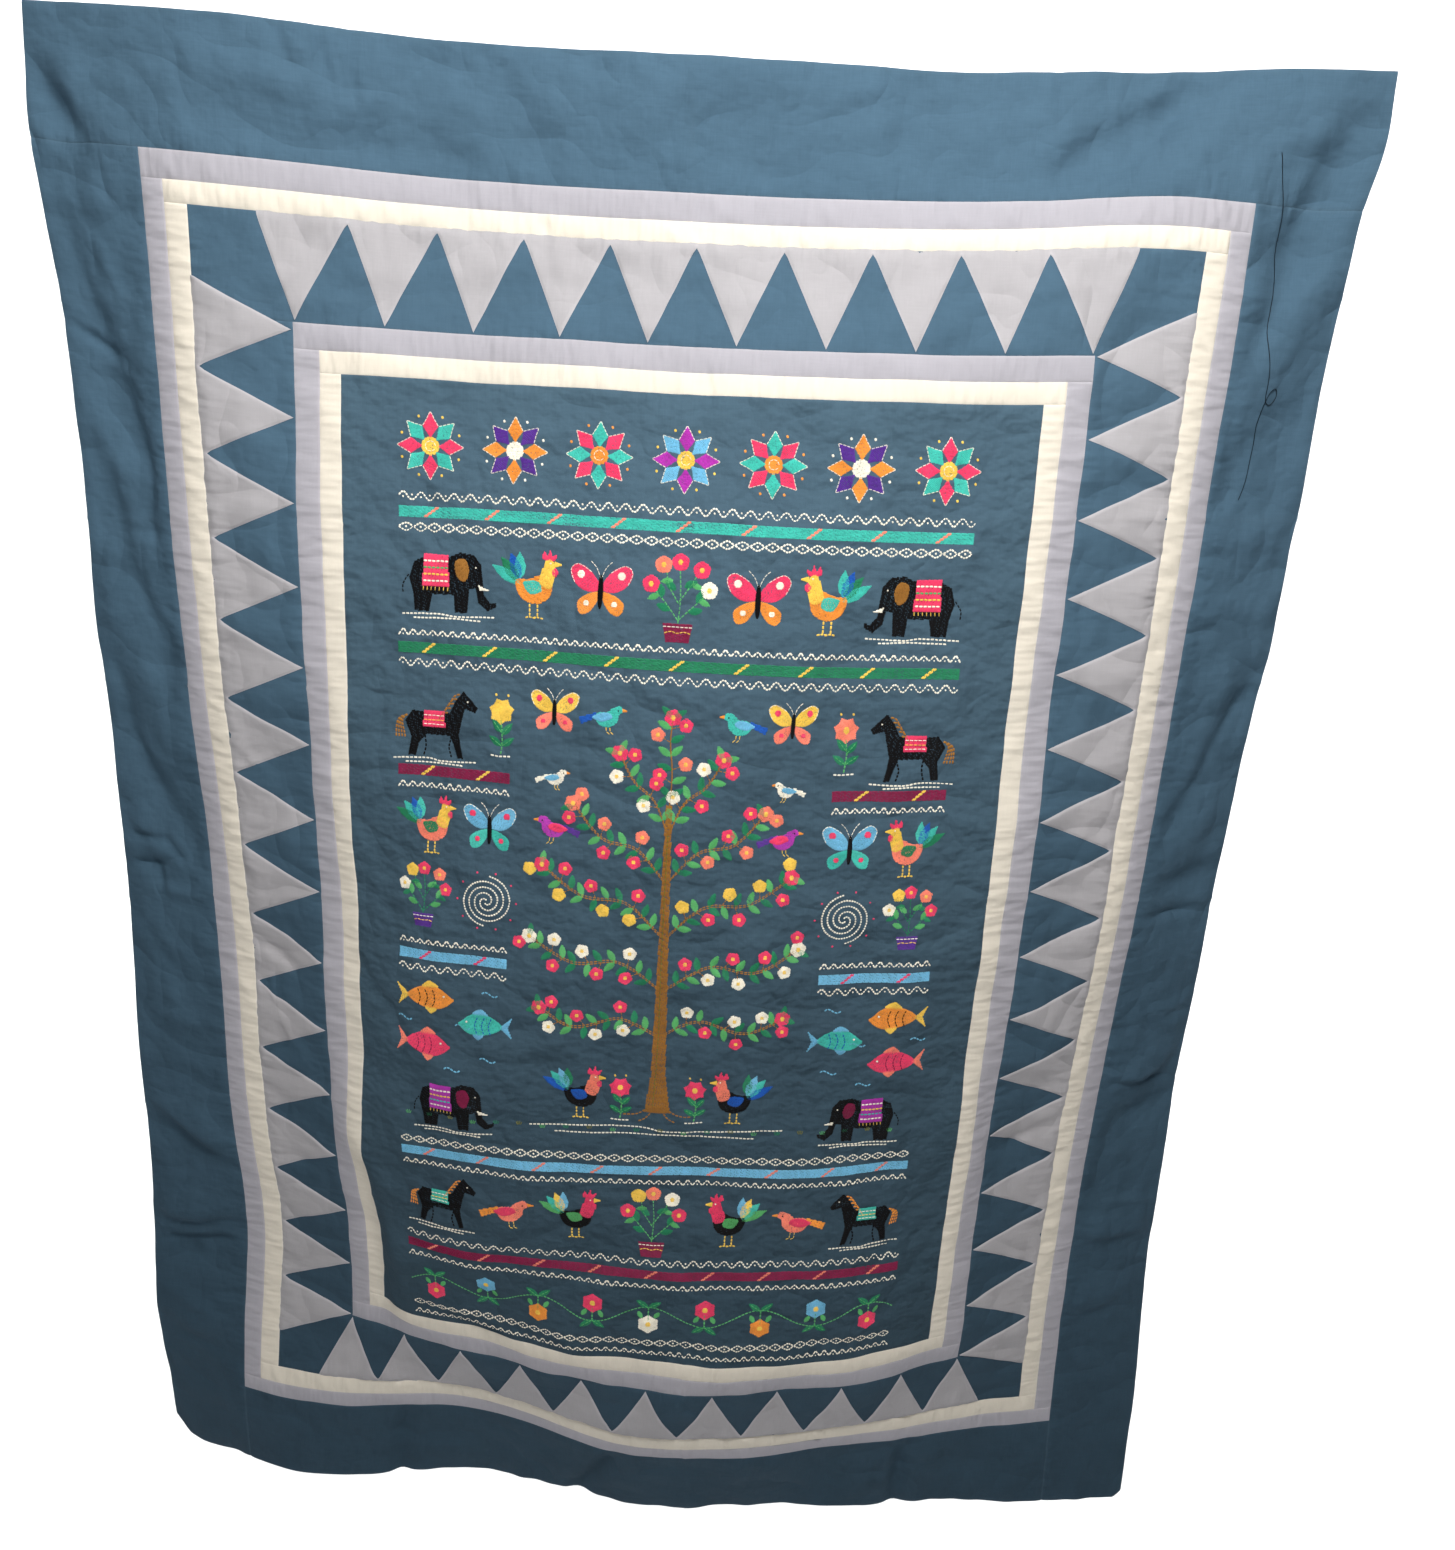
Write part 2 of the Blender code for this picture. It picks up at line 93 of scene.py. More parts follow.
# Soft folds: the places across and down that each one runs through from left to right, its half
# widths above and below that line, and how far forward it stands
FOLDS = {
    "left corner pinch": (
        ((-0.490, 0.040), (-0.477, 0.057), (-0.465, 0.071), (-0.450, 0.090)),
        0.007, 0.012, -0.0072,
    ),
    "left corner ridge": (((-0.474, 0.026), (-0.459, 0.047), (-0.440, 0.076)), 0.014, 0.008, 0.0040),
    "left long trough": (
        (
            (-0.487, 0.124), (-0.480, 0.147), (-0.469, 0.174), (-0.459, 0.216), (-0.441, 0.270),
            (-0.428, 0.320), (-0.416, 0.400),
        ),
        0.009, 0.017, -0.0085,
    ),
    "left second trough": (
        (
            (-0.484, 0.300), (-0.468, 0.335), (-0.460, 0.365), (-0.450, 0.396), (-0.436, 0.428),
            (-0.412, 0.453),
        ),
        0.008, 0.015, -0.0065,
    ),
    "left light ridge": (
        ((-0.480, 0.395), (-0.466, 0.440), (-0.444, 0.490), (-0.420, 0.540)),
        0.016, 0.013, 0.0045,
    ),
    "left third trough": (
        (
            (-0.484, 0.483), (-0.475, 0.518), (-0.464, 0.553), (-0.446, 0.583), (-0.434, 0.609),
            (-0.414, 0.626),
        ),
        0.008, 0.016, -0.0065,
    ),
    "left middle ridge": (((-0.486, 0.600), (-0.455, 0.640), (-0.420, 0.648)), 0.016, 0.006, 0.0050),
    "left long ridge": (((-0.478, 0.700), (-0.462, 0.760), (-0.440, 0.820)), 0.015, 0.015, 0.0030),
    "left low ridge": (((-0.484, 0.880), (-0.445, 0.902), (-0.402, 0.930)), 0.020, 0.008, 0.0110),
    "left low pleat": (((-0.488, 1.002), (-0.445, 1.000), (-0.400, 0.993)), 0.016, 0.006, 0.0085),
    "left low trough": (((-0.482, 1.034), (-0.453, 1.044), (-0.408, 1.034)), 0.006, 0.012, -0.0050),
    "left hem swag": (((-0.478, 1.112), (-0.450, 1.130), (-0.414, 1.122)), 0.018, 0.012, 0.0060),
    "panel low left ridge": (((-0.240, 0.880), (-0.232, 0.960), (-0.224, 1.050)), 0.010, 0.020, 0.0050),
    "inner strip low trough": (
        ((-0.264, 0.900), (-0.264, 0.980), (-0.258, 1.070)),
        0.013, 0.010, -0.0060,
    ),
    "inner strip high trough": (
        ((-0.268, 0.640), (-0.268, 0.720), (-0.266, 0.800)),
        0.016, 0.012, -0.0035,
    ),
    "right inner ridge": (((0.262, 0.760), (0.268, 0.840), (0.270, 0.930)), 0.014, 0.018, 0.0035),
    "right corner trough": (
        (
            (0.254, 0.088), (0.263, 0.071), (0.276, 0.058), (0.295, 0.050), (0.323, 0.033),
            (0.351, 0.017), (0.368, 0.003),
        ),
        0.009, 0.018, -0.0080,
    ),
    "right corner ridge": (((0.300, 0.086), (0.345, 0.052), (0.400, 0.022)), 0.020, 0.018, 0.0045),
    "right second trough": (
        (
            (0.414, 0.190), (0.425, 0.165), (0.440, 0.130), (0.452, 0.100), (0.460, 0.062),
            (0.469, 0.041), (0.482, 0.022),
        ),
        0.010, 0.017, -0.0095,
    ),
    "right third ridge": (((0.418, 0.250), (0.440, 0.190), (0.466, 0.120)), 0.016, 0.016, 0.0040),
    "right soft trough": (((0.410, 0.330), (0.440, 0.270), (0.470, 0.220)), 0.014, 0.018, -0.0040),
    "right long fold": (
        (
            (0.410, 0.574), (0.430, 0.548), (0.448, 0.521), (0.463, 0.488), (0.477, 0.452),
            (0.490, 0.430),
        ),
        0.007, 0.018, -0.0070,
    ),
    "right long ridge": (((0.420, 0.610), (0.448, 0.562), (0.472, 0.510)), 0.018, 0.016, 0.0045),
    "right middle crease": (((0.396, 0.622), (0.440, 0.618), (0.490, 0.612)), 0.007, 0.012, -0.0050),
    "right low ridge": (((0.404, 0.812), (0.449, 0.806), (0.490, 0.784)), 0.020, 0.007, 0.0090),
    "right low trough": (((0.430, 0.860), (0.462, 0.850), (0.490, 0.838)), 0.010, 0.014, -0.0060),
    "right low pleat": (((0.396, 0.968), (0.443, 0.975), (0.490, 0.978)), 0.018, 0.006, 0.0085),
    "right hem swag": (((0.398, 1.050), (0.442, 1.052), (0.490, 1.056)), 0.018, 0.009, 0.0065),
}
# Where the strips and the hems hold the cloth flat, the folds beside them are weaker
STRIP_MIDDLE = 0.388
STRIP_CALM = 0.026
STRIP_DOWN = (0.106, 1.178)
HEM_CALM = 0.013
# Reach over which the cloth evens out the width and height that its folds take up
EVENED = 0.035
TABLE_STEP = 0.0025
# Small pulls in the cloth's own plane: place across and down, reach, and the shift right and up
PULLS = (
    (-0.490, 0.070, 0.035, -0.006, 0.000),
    (0.490, 0.045, 0.028, 0.007, 0.000),
    (0.390, 0.000, 0.080, 0.000, 0.006),
    (0.490, 1.270, 0.060, -0.007, 0.000),
    (0.465, 1.285, 0.050, 0.000, -0.013),
    (-0.452, 1.285, 0.032, -0.002, -0.012),
)

# Small creases that the solids leave out: across and down at both ends, half width, and how far
# forward each one stands
CREASES = (
    # Long folds of the hem
    (-0.237, 1.200, -0.247, 1.300, 0.0060, -0.0034),
    (-0.020, 1.190, -0.072, 1.300, 0.0065, -0.0036),
    (0.256, 1.170, 0.245, 1.300, 0.0065, -0.0036),
    # Top border
    (-0.272, 0.002, -0.262, 0.050, 0.0035, -0.0022),
    (-0.250, 0.001, -0.248, 0.046, 0.0030, -0.0018),
    (-0.232, 0.004, -0.226, 0.034, 0.0030, 0.0014),
    (-0.300, 0.000, -0.292, 0.028, 0.0035, -0.0016),
    (0.252, 0.002, 0.255, 0.030, 0.0030, -0.0015),
    (0.345, 0.020, 0.300, 0.070, 0.0060, -0.0016),
    (0.455, 0.030, 0.372, 0.088, 0.0080, 0.0018),
    (-0.440, 0.012, -0.150, 0.062, 0.0120, 0.0022),
    (-0.380, 0.060, -0.120, 0.088, 0.0100, -0.0012),
    # Left border
    (-0.490, 0.215, -0.451, 0.236, 0.0026, -0.0030),
    (-0.452, 0.233, -0.410, 0.252, 0.0040, -0.0012),
    (-0.452, 0.150, -0.432, 0.190, 0.0040, 0.0012),
    (-0.448, 0.368, -0.404, 0.365, 0.0025, -0.0012),
    (-0.490, 0.632, -0.448, 0.630, 0.0030, -0.0026),
    (-0.448, 0.628, -0.430, 0.646, 0.0030, -0.0022),
    (-0.490, 0.659, -0.452, 0.654, 0.0028, -0.0032),
    (-0.459, 0.654, -0.450, 0.680, 0.0028, -0.0026),
    (-0.470, 0.676, -0.408, 0.672, 0.0040, 0.0016),
    (-0.486, 0.700, -0.440, 0.760, 0.0060, -0.0016),
    (-0.470, 0.790, -0.410, 0.800, 0.0050, 0.0012),
    (-0.484, 1.040, -0.412, 1.030, 0.0035, -0.0022),
    (-0.480, 1.092, -0.430, 1.118, 0.0060, 0.0018),
    (-0.470, 1.150, -0.420, 1.160, 0.0050, -0.0012),
    # Right border
    (0.470, 0.100, 0.410, 0.210, 0.0060, -0.0016),
    (0.455, 0.250, 0.405, 0.330, 0.0080, 0.0014),
    (0.490, 0.648, 0.396, 0.646, 0.0028, -0.0022),
    (0.490, 0.433, 0.462, 0.486, 0.0035, -0.0016),
    (0.490, 0.820, 0.396, 0.810, 0.0026, -0.0022),
    (0.488, 0.735, 0.420, 0.748, 0.0040, 0.0014),
    (0.488, 0.948, 0.398, 0.942, 0.0030, 0.0014),
    (0.486, 1.040, 0.420, 1.080, 0.0060, -0.0014),
    # Bottom border
    (-0.350, 1.196, -0.356, 1.270, 0.0060, -0.0016),
    (-0.246, 1.200, -0.250, 1.285, 0.0050, -0.0020),
    (-0.120, 1.205, -0.126, 1.280, 0.0060, 0.0014),
    (-0.030, 1.196, -0.072, 1.285, 0.0045, -0.0022),
    (0.120, 1.200, 0.130, 1.270, 0.0060, 0.0012),
    (0.246, 1.198, 0.242, 1.280, 0.0050, -0.0018),
    # Centre panel
    (-0.258, 0.262, -0.170, 0.340, 0.0050, -0.0012),
    (-0.258, 0.330, -0.200, 0.352, 0.0035, 0.0010),
    (-0.258, 0.390, -0.215, 0.450, 0.0045, -0.0014),
    (-0.258, 0.560, -0.230, 0.620, 0.0045, -0.0012),
    (-0.256, 0.700, -0.214, 0.752, 0.0050, -0.0016),
    (-0.256, 0.860, -0.200, 0.930, 0.0060, -0.0014),
    (0.258, 0.480, 0.214, 0.520, 0.0045, -0.0014),
    (0.258, 0.620, 0.210, 0.650, 0.0040, -0.0012),
    (0.258, 0.860, 0.190, 0.955, 0.0055, -0.0018),
    (0.258, 0.930, 0.200, 1.010, 0.0060, -0.0016),
    (-0.200, 1.020, -0.120, 1.044, 0.0060, 0.0014),
    (0.060, 1.010, 0.200, 1.040, 0.0070, -0.0012),
    # Sawtooth band
    (-0.366, 0.520, -0.340, 0.545, 0.0030, 0.0012),
    (-0.366, 0.700, -0.318, 0.720, 0.0035, -0.0016),
    (-0.350, 0.742, -0.330, 0.790, 0.0035, 0.0016),
    (0.366, 0.300, 0.330, 0.286, 0.0050, -0.0012),
    (0.366, 0.842, 0.300, 0.868, 0.0045, -0.0016),
    (0.362, 0.640, 0.310, 0.665, 0.0045, -0.0012),
)
CREASE_STRENGTH = 1.7
# Pressed creases, from the cloth's folded storage: one down the middle, and across it the
# places down at its left edge, middle and right edge
MIDDLE_CREASE_DOWN = (0.000, 0.092, 0.534, 1.285)
MIDDLE_CREASE_ACROSS = (-0.009, -0.005, 0.012, 0.042)
CROSS_CREASES = (
    (0.200, 0.165, 0.150),
    (0.364, 0.327, 0.313),
    (0.498, 0.448, 0.446),
    (0.690, 0.615, 0.640),
    (0.889, 0.798, 0.852),
    (0.993, 0.893, 0.954),
)
PRESSED_HEIGHT = 0.0006
PRESSED_WIDTH = 0.0020
# Soft unevenness of the cloth: length of the waves, their height and their number
UNEVEN = ((0.120, 0.00065, 8), (0.055, 0.00022, 12), (0.024, 0.00006, 16))

# Lower corners: which side, how far they are rounded, and how far they curl back
CORNERS = ((-1, 0.018, 0.0040), (1, 0.009, 0.0020))

# Thickness of the sheets
CLOTH_THICK = 0.0006
BAND_THICK = 0.0010
# Spacing of the sheets' points. A piece narrower than NARROW is a strip.
CELL = 0.0042
BORDER_CELL = 0.0034
PANEL_CELL = 0.0046
NARROW = 0.03
STRIP_CELL = 0.0046
STRIP_LENGTH_CELL = 0.0023
TOOTH_COLUMN = 0.0024
TOOTH_ROWS = (*np.linspace(0, 0.9, 11), 0.95, 0.98, 1.0)
# Sewn edges: how far they run on behind their neighbour, and how they roll down and puff up
ALLOWANCE = 0.0011
ALLOWANCE_SLOPE = 0.8
EDGE_ROLL = 0.0017
SEAM_DIP = 0.0006
SEAM_ROLL = 0.0016
PUFF = 0.00025
PUFF_WIDTH = 0.0045
# Hems: their width, the extra thickness, and the soft step where it ends
HEM_WIDTH = 0.011
HEM_EXTRA = 0.0007
HEM_STEP = 0.0006
# Depth and half width of the rounding at a hem's fold and of the dip at its stitches
HEM_ROUNDING = (0.0003, 0.0010)
HEM_DIP = (0.00012, 0.0018)
# Worn edges: how worn, and half width. The teeth's edges are also lighter as a painted highlight
SEAM_WEAR = (0.5, 0.0012)
HEM_WEAR = (0.6, 0.0015)
TOOTH_WEAR_AND_HIGHLIGHT = (0.9, 0.0010)
PRESSED_WEAR = 0.15
# Short ridges that a seam gathers: their fade at the edge, spacing, half width and height
PUCKER_FADE = 0.0035
PUCKER_SPACING = 0.0088
PUCKER_HALF_WIDTH = 0.0024
STRIP_PUCKER = 0.0016
BAND_PUCKER = 0.00050
BAND_SEED = 31
GATHER = 0.0006
# How far the wrinkles of the material reach from a seam
SEAM_REACH = 0.014
# Teeth: how they stand proud of the blue band, and how their turned-under edges end
VALLEY_ROUNDING = 0.0018
TIP_GAP = 0.0004
SLIVER = 0.0004
TOOTH_BASE = 0.00025
TOOTH_LIFT = 0.0008
TOOTH_EDGE = 0.0009
TOOTH_ROOT = 0.0030
TOOTH_ENDS = 0.0008
LEAST_DEPTH = 0.0006
GATHER_REACH = 0.02
DRAWN_REACH = 0.022


def bell(distance, height, half_width):
    """A soft hump, at a distance from its middle."""
    return height * np.exp(-((distance / half_width) ** 2))


def smooth_between(at, stations, values):
    """Cubic curve through values at stations, along the first axis."""
    stations = np.asarray(stations, float)
    values = np.asarray(values, float)
    widths = np.diff(stations)[:, None]
    slopes = np.diff(values, axis=0) / widths
    tangents = np.concatenate([slopes[:1], (slopes[1:] + slopes[:-1]) / 2, slopes[-1:]])
    i = np.clip(np.searchsorted(stations, at, side="right") - 1, 0, len(stations) - 2)
    h = widths[i]
    t = (at[:, None] - stations[i][:, None]) / h
    start = (2 * t**3 - 3 * t**2 + 1) * values[i]
    leave = (t**3 - 2 * t**2 + t) * h * tangents[i]
    end = (3 * t**2 - 2 * t**3) * values[i + 1]
    arrive = (t**3 - t**2) * h * tangents[i + 1]
    return start + leave + end + arrive


def fold(across, down, places, above, below, forward):
    """One trough or ridge along a line, with a half width on each side, weaker at its two ends."""
    places = np.array(places)
    lengths = np.hypot(*np.diff(places, axis=0).T)
    nearest = np.full(across.shape, np.inf)
    side = np.zeros(across.shape)
    share = np.zeros(across.shape)
    run = 0
    for (a0, d0), (a1, d1), length in zip(places, places[1:], lengths):
        along = ((across - a0) * (a1 - a0) + (down - d0) * (d1 - d0)) / length
        aside = ((across - a0) * (d1 - d0) - (down - d0) * (a1 - a0)) / length
        past = np.maximum(np.maximum(-along, along - length), 0)
        distance = np.hypot(aside, past)
        closer = distance < nearest
        nearest = np.where(closer, distance, nearest)
        side = np.where(closer, aside, side)
        share = np.where(closer, (run + np.clip(along, 0, length)) / lengths.sum(), share)
        run += length
    half_width = (above + below) / 2 + (above - below) / 2 * side / np.maximum(nearest, 1e-9)
    swell = np.sin(math.pi * (0.14 + 0.72 * share))
    return forward * swell * np.exp(-0.5 * (nearest / half_width) ** 2)


def calm(across, down):
    """How strong a fold may be, from 0 to 1: weaker along the outer strips and the side hems."""
    strip = np.exp(-(((np.abs(across) - STRIP_MIDDLE) / STRIP_CALM) ** 4))
    beside = np.abs(across) < STRIP_MIDDLE
    for middle in STRIP_DOWN:
        strip = np.maximum(strip, beside * np.exp(-(((down - middle) / STRIP_CALM) ** 4)))
    hem = np.exp(-(((HALF_WIDTH - np.abs(across)) / HEM_CALM) ** 2))
    return (1 - 0.90 * strip) * (1 - 0.75 * hem)


def evened(lengths, places):
    """Lengths of the table's cells, averaged with those of the rows near them."""
    nearness = np.exp(-0.5 * ((places[:, None] - places[None, :]) / EVENED) ** 2)
    return nearness / nearness.sum(axis=1, keepdims=True) @ lengths


def hanging_table():
    """Places of the hanging surface, with each length across and down kept as it was cut."""
    half_count = round(HALF_WIDTH / TABLE_STEP)
    across = np.linspace(-HALF_WIDTH, HALF_WIDTH, 2 * half_count + 1)
    down = np.linspace(0, CLOTH_HEIGHT, round(CLOTH_HEIGHT / TABLE_STEP) + 1)
    table = np.array(SECTIONS)
    sections = smooth_between(down, table[:, 0], table[:, 1:])
    places = np.array(SECTION_PLACES) * HALF_WIDTH
    forward = smooth_between(across, places, sections.T).T
    grid_across, grid_down = np.meshgrid(across, down)
    for fold_row in FOLDS.values():
        forward = forward + fold(grid_across, grid_down, *fold_row) * calm(grid_across, grid_down)
    y = -forward
    step_across = across[1] - across[0]
    step_down = down[1] - down[0]
    run = step_across * np.sqrt(1 - (np.diff(y, axis=1) / step_across) ** 2)
    drop = step_down * np.sqrt(1 - (np.diff(y, axis=0) / step_down) ** 2)
    run = evened(run, down)
    drop = evened(drop.T, across).T
    x = np.pad(np.cumsum(run, axis=1), ((0, 0), (1, 0)))
    x = x - x[:, half_count : half_count + 1]
    z = -np.pad(np.cumsum(drop, axis=0), ((1, 0), (0, 0)))
    middle_dip = 1 - (across / HALF_WIDTH) ** 2
    z = z + CORNER_LIFT * (1 - middle_dip[None, :] * np.exp(-down / LIFT_FADE)[:, None])
    for pull_across, pull_down, reach, shift_right, shift_up in PULLS:
        away = np.hypot(grid_across - pull_across, grid_down - pull_down)
        share = np.exp(-0.5 * away**2 / reach**2)
        x = x + shift_right * share
        z = z + shift_up * share
    return np.stack([x, y, z], axis=-1)


def facing_table(places):
    """Direction out of the embroidered face, at each place of the table."""
    right = np.gradient(places, axis=1)
    up = -np.gradient(places, axis=0)
    out = np.cross(right, up)
    return out / np.linalg.norm(out, axis=-1, keepdims=True)


TABLE = hanging_table()
FACING = facing_table(TABLE)


def read_table(table, across, down):
    """Values of a table at flat places."""
    rows, columns = table.shape[:2]
    f = np.clip((across + HALF_WIDTH) / CLOTH_WIDTH, 0, 1) * (columns - 1)
    g = np.clip(down / CLOTH_HEIGHT, 0, 1) * (rows - 1)
    i = np.minimum(f.astype(int), columns - 2)
    j = np.minimum(g.astype(int), rows - 2)
    s, t = (f - i)[..., None], (g - j)[..., None]
    upper = table[j, i] * (1 - s) + table[j, i + 1] * s
    lower = table[j + 1, i] * (1 - s) + table[j + 1, i + 1] * s
    return upper * (1 - t) + lower * t


def round_corners(across, down):
    """Rounds the lower corners. Gives the flat places and how far each one curls back."""
    curl = np.zeros_like(across)
    for side, radius, back in CORNERS:
        p = np.clip(1 - (HALF_WIDTH - side * across) / radius, 0, 1)
        q = np.clip(1 - (CLOTH_HEIGHT - down) / radius, 0, 1)
        inside = (p > 0) & (q > 0)
        round_p = p * np.sqrt(1 - q**2 / 2)
        round_q = q * np.sqrt(1 - p**2 / 2)
        across = np.where(inside, side * (HALF_WIDTH - radius * (1 - round_p)), across)
        down = np.where(inside, CLOTH_HEIGHT - radius * (1 - round_q), down)
        curl += back * (p * q) ** 1.5
    return across, down, curl


def unevenness(across, down):
    """Soft waves in all directions."""
    rng = np.random.default_rng(11)
    height = np.zeros_like(across)
    for length, amplitude, count in UNEVEN:
        for _ in range(count):
            angle, phase = rng.uniform(0, 2 * math.pi, 2)
            wave = across * math.cos(angle) + down * math.sin(angle)
            height += amplitude * np.sin(2 * math.pi / length * wave + phase)
    return height


def pressed(across, down):
    """Ridges left by folding the cloth flat, from 0 to 1."""
    line = np.interp(down, MIDDLE_CREASE_DOWN, MIDDLE_CREASE_ACROSS)
    height = np.exp(-np.abs(across - line) / PRESSED_WIDTH)
    for left, middle, right in CROSS_CREASES:
        share = across / HALF_WIDTH
        line = middle + share * (right - left) / 2 + share**2 * ((right + left) / 2 - middle)
        height = height + np.exp(-np.abs(down - line) / PRESSED_WIDTH)
    return height


def detail(across, down):
    """Height of the small relief over the hanging surface."""
    strength = calm(across, down)
    height = unevenness(across, down) * (0.25 + 0.75 * strength)
    height = height + PRESSED_HEIGHT * pressed(across, down)
    for a0, d0, a1, d1, half_width, forward in CREASES:
        deep = CREASE_STRENGTH * strength * forward
        height += deep * fold(across, down, ((a0, d0), (a1, d1)), half_width, half_width, 1.0)
    return height


def hang(across, down, lift):
    """Places on the cloth's face, lifted off it by lift."""
    across, down, curl = round_corners(across, down)
    place = read_table(TABLE, across, down)
    facing = read_table(FACING, across, down)
    return place + facing * (detail(across, down) - curl + lift)[..., None]


# Sheets

SHARP_ANGLE = math.radians(55)


def spaced(low, high, step, sewn_low, sewn_high):
    """Lines of a sheet along one direction, closer together beside its edges."""
    near, far = low + EDGE_ROLL, high - EDGE_ROLL
    count = max(2, round((far - near) / step))
    lines = [low, *np.linspace(near, far, count + 1), high]
    if sewn_low:
        lines = [low - ALLOWANCE, *lines]
    if sewn_high:
        lines = [*lines, high + ALLOWANCE]
    return np.array(lines)


def seam_profile(distance):
    """Lift of a sheet at a distance in from its sewn edge, which rolls down behind it."""
    inside = np.maximum(distance, 0)
    lift = PUFF * (1 - bell(inside, 1, PUFF_WIDTH))
    lift = lift - bell(inside, SEAM_DIP, SEAM_ROLL)
    return lift - ALLOWANCE_SLOPE * np.maximum(-distance, 0)


def grid_faces(columns, rows, offset=0, flip=False):
    """Quads of a grid of vertices that are stored row by row."""
    first = np.arange(columns - 1)[None, :] + columns * np.arange(rows - 1)[:, None] + offset
    quads = np.stack([first, first + columns, first + columns + 1, first + 1], axis=-1).reshape(-1, 4)
    return quads[:, ::-1] if flip else quads


def rim_faces(columns, rows):
    """Quads that join the rims of a front grid and the back grid stored after it."""
    top = np.arange(columns)
    right = columns - 1 + columns * np.arange(rows)
    bottom = columns * (rows - 1) + np.arange(columns)[::-1]
    left = columns * np.arange(rows)[::-1]
    loop = np.concatenate([top[:-1], right[:-1], bottom[:-1], left[:-1]])
    ahead = np.roll(loop, -1)
    back = columns * rows
    return np.stack([loop, ahead, ahead + back, loop + back], axis=-1)


def make_mesh(name, places, faces, material, stored=()):
    """A mesh object that rides on the cloth's body, with values stored at its points."""
    mesh = bpy.data.meshes.new(name)
    mesh.from_pydata(places.reshape(-1, 3).tolist(), [], faces)
    mesh.materials.append(material)
    for key, values in stored:
        layer = mesh.attributes.new(key, "FLOAT_VECTOR", "POINT")
        layer.data.foreach_set("vector", values.astype(np.float32).ravel())
    mesh.shade_smooth()
    mesh.set_sharp_from_angle(angle=SHARP_ANGLE)
    piece = bpy.data.objects.new(name, mesh)
    bpy.context.scene.collection.objects.link(piece)
    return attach(piece, "root")


def lay_sheet(node, slot, across, down, lift, thick, wear, beside):
    """A thin sheet of cloth on the hanging surface, in place of a CAD node."""
    rows, columns = across.shape
    front = hang(across, down, lift)
    back = hang(across, down, lift - thick)
    places = np.concatenate([front.reshape(-1, 3), back.reshape(-1, 3)])
    faces = np.concatenate(
        [
            grid_faces(columns, rows),
            grid_faces(columns, rows, offset=rows * columns, flip=True),
            rim_faces(columns, rows),
        ]
    )
    # On the teeth's turned edges the wear also holds a painted highlight
    worn = wear + PRESSED_WEAR * np.clip(pressed(across, down), 0, 1) ** 2
    flat = np.stack([across, down, worn], axis=-1).reshape(-1, 3)
    seam = np.stack(beside, axis=-1).reshape(-1, 3)
    stored = (("flat", np.concatenate([flat, flat])), ("seam", np.concatenate([seam, seam])))
    piece = make_mesh(node + "_cloth", places, faces.tolist(), COTTONS[slot], stored)
    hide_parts(node)


def edge_distance(lines, low, high, sewn_low, sewn_high):
    """Distance of each line from the nearer sewn edge."""
    far = np.full(lines.shape, 1.0)
    near_low = lines - low if sewn_low else far
    near_high = high - lines if sewn_high else far
    return np.minimum(near_low, near_high)


def puckers(along, inward, seed, height):
    """Short soft ridges square to a seam, at uneven places along it."""
    rng = np.random.default_rng(seed)
    total = np.zeros_like(along)
    at = -HALF_WIDTH
    while at < CLOTH_HEIGHT:
        at += PUCKER_SPACING * rng.uniform(0.35, 1.65)
        slant = rng.normal(0, 0.55)
        half_width = PUCKER_HALF_WIDTH * rng.uniform(0.6, 1.6)
        strength = height * rng.uniform(0.3, 1.0) * rng.choice((1, 1, -1))
        middle = rng.uniform(-0.010, 0.010)
        reach = rng.uniform(0.008, 0.022)
        shape = np.exp(-0.5 * ((along - at - slant * inward) / half_width) ** 2)
        total += strength * shape * np.exp(-0.5 * ((inward - middle) / reach) ** 2)
    return total


def hem_edge(distance, thick, lift, wear):
    """A hem along one edge: doubled cloth, a dip at its stitches and a worn fold."""
    doubled = 0.5 - 0.5 * np.tanh((distance - HEM_WIDTH) / HEM_STEP)
    thick = np.maximum(thick, CLOTH_THICK + HEM_EXTRA * doubled)
    lift = lift - bell(distance, *HEM_ROUNDING)
    lift = lift - bell(distance - HEM_WIDTH, *HEM_DIP)
    return thick, lift, np.maximum(wear, bell(distance, *HEM_WEAR))


def beside_seams(across, down, from_side, from_end, strip_wide=None):
    """Places along and off the nearest seam, and how near it is. A strip's seams run one way."""
    if strip_wide is None:
        level = from_end < from_side
        inside = np.maximum(np.minimum(from_side, from_end), 0)
        strength = np.exp(-inside / SEAM_REACH) * (1 - bell(from_side - from_end, 1, SEAM_REACH))
    else:
        level = np.full(across.shape, strip_wide)
        strength = np.ones(across.shape)
    return np.where(level, across, down), np.where(level, down, across), strength


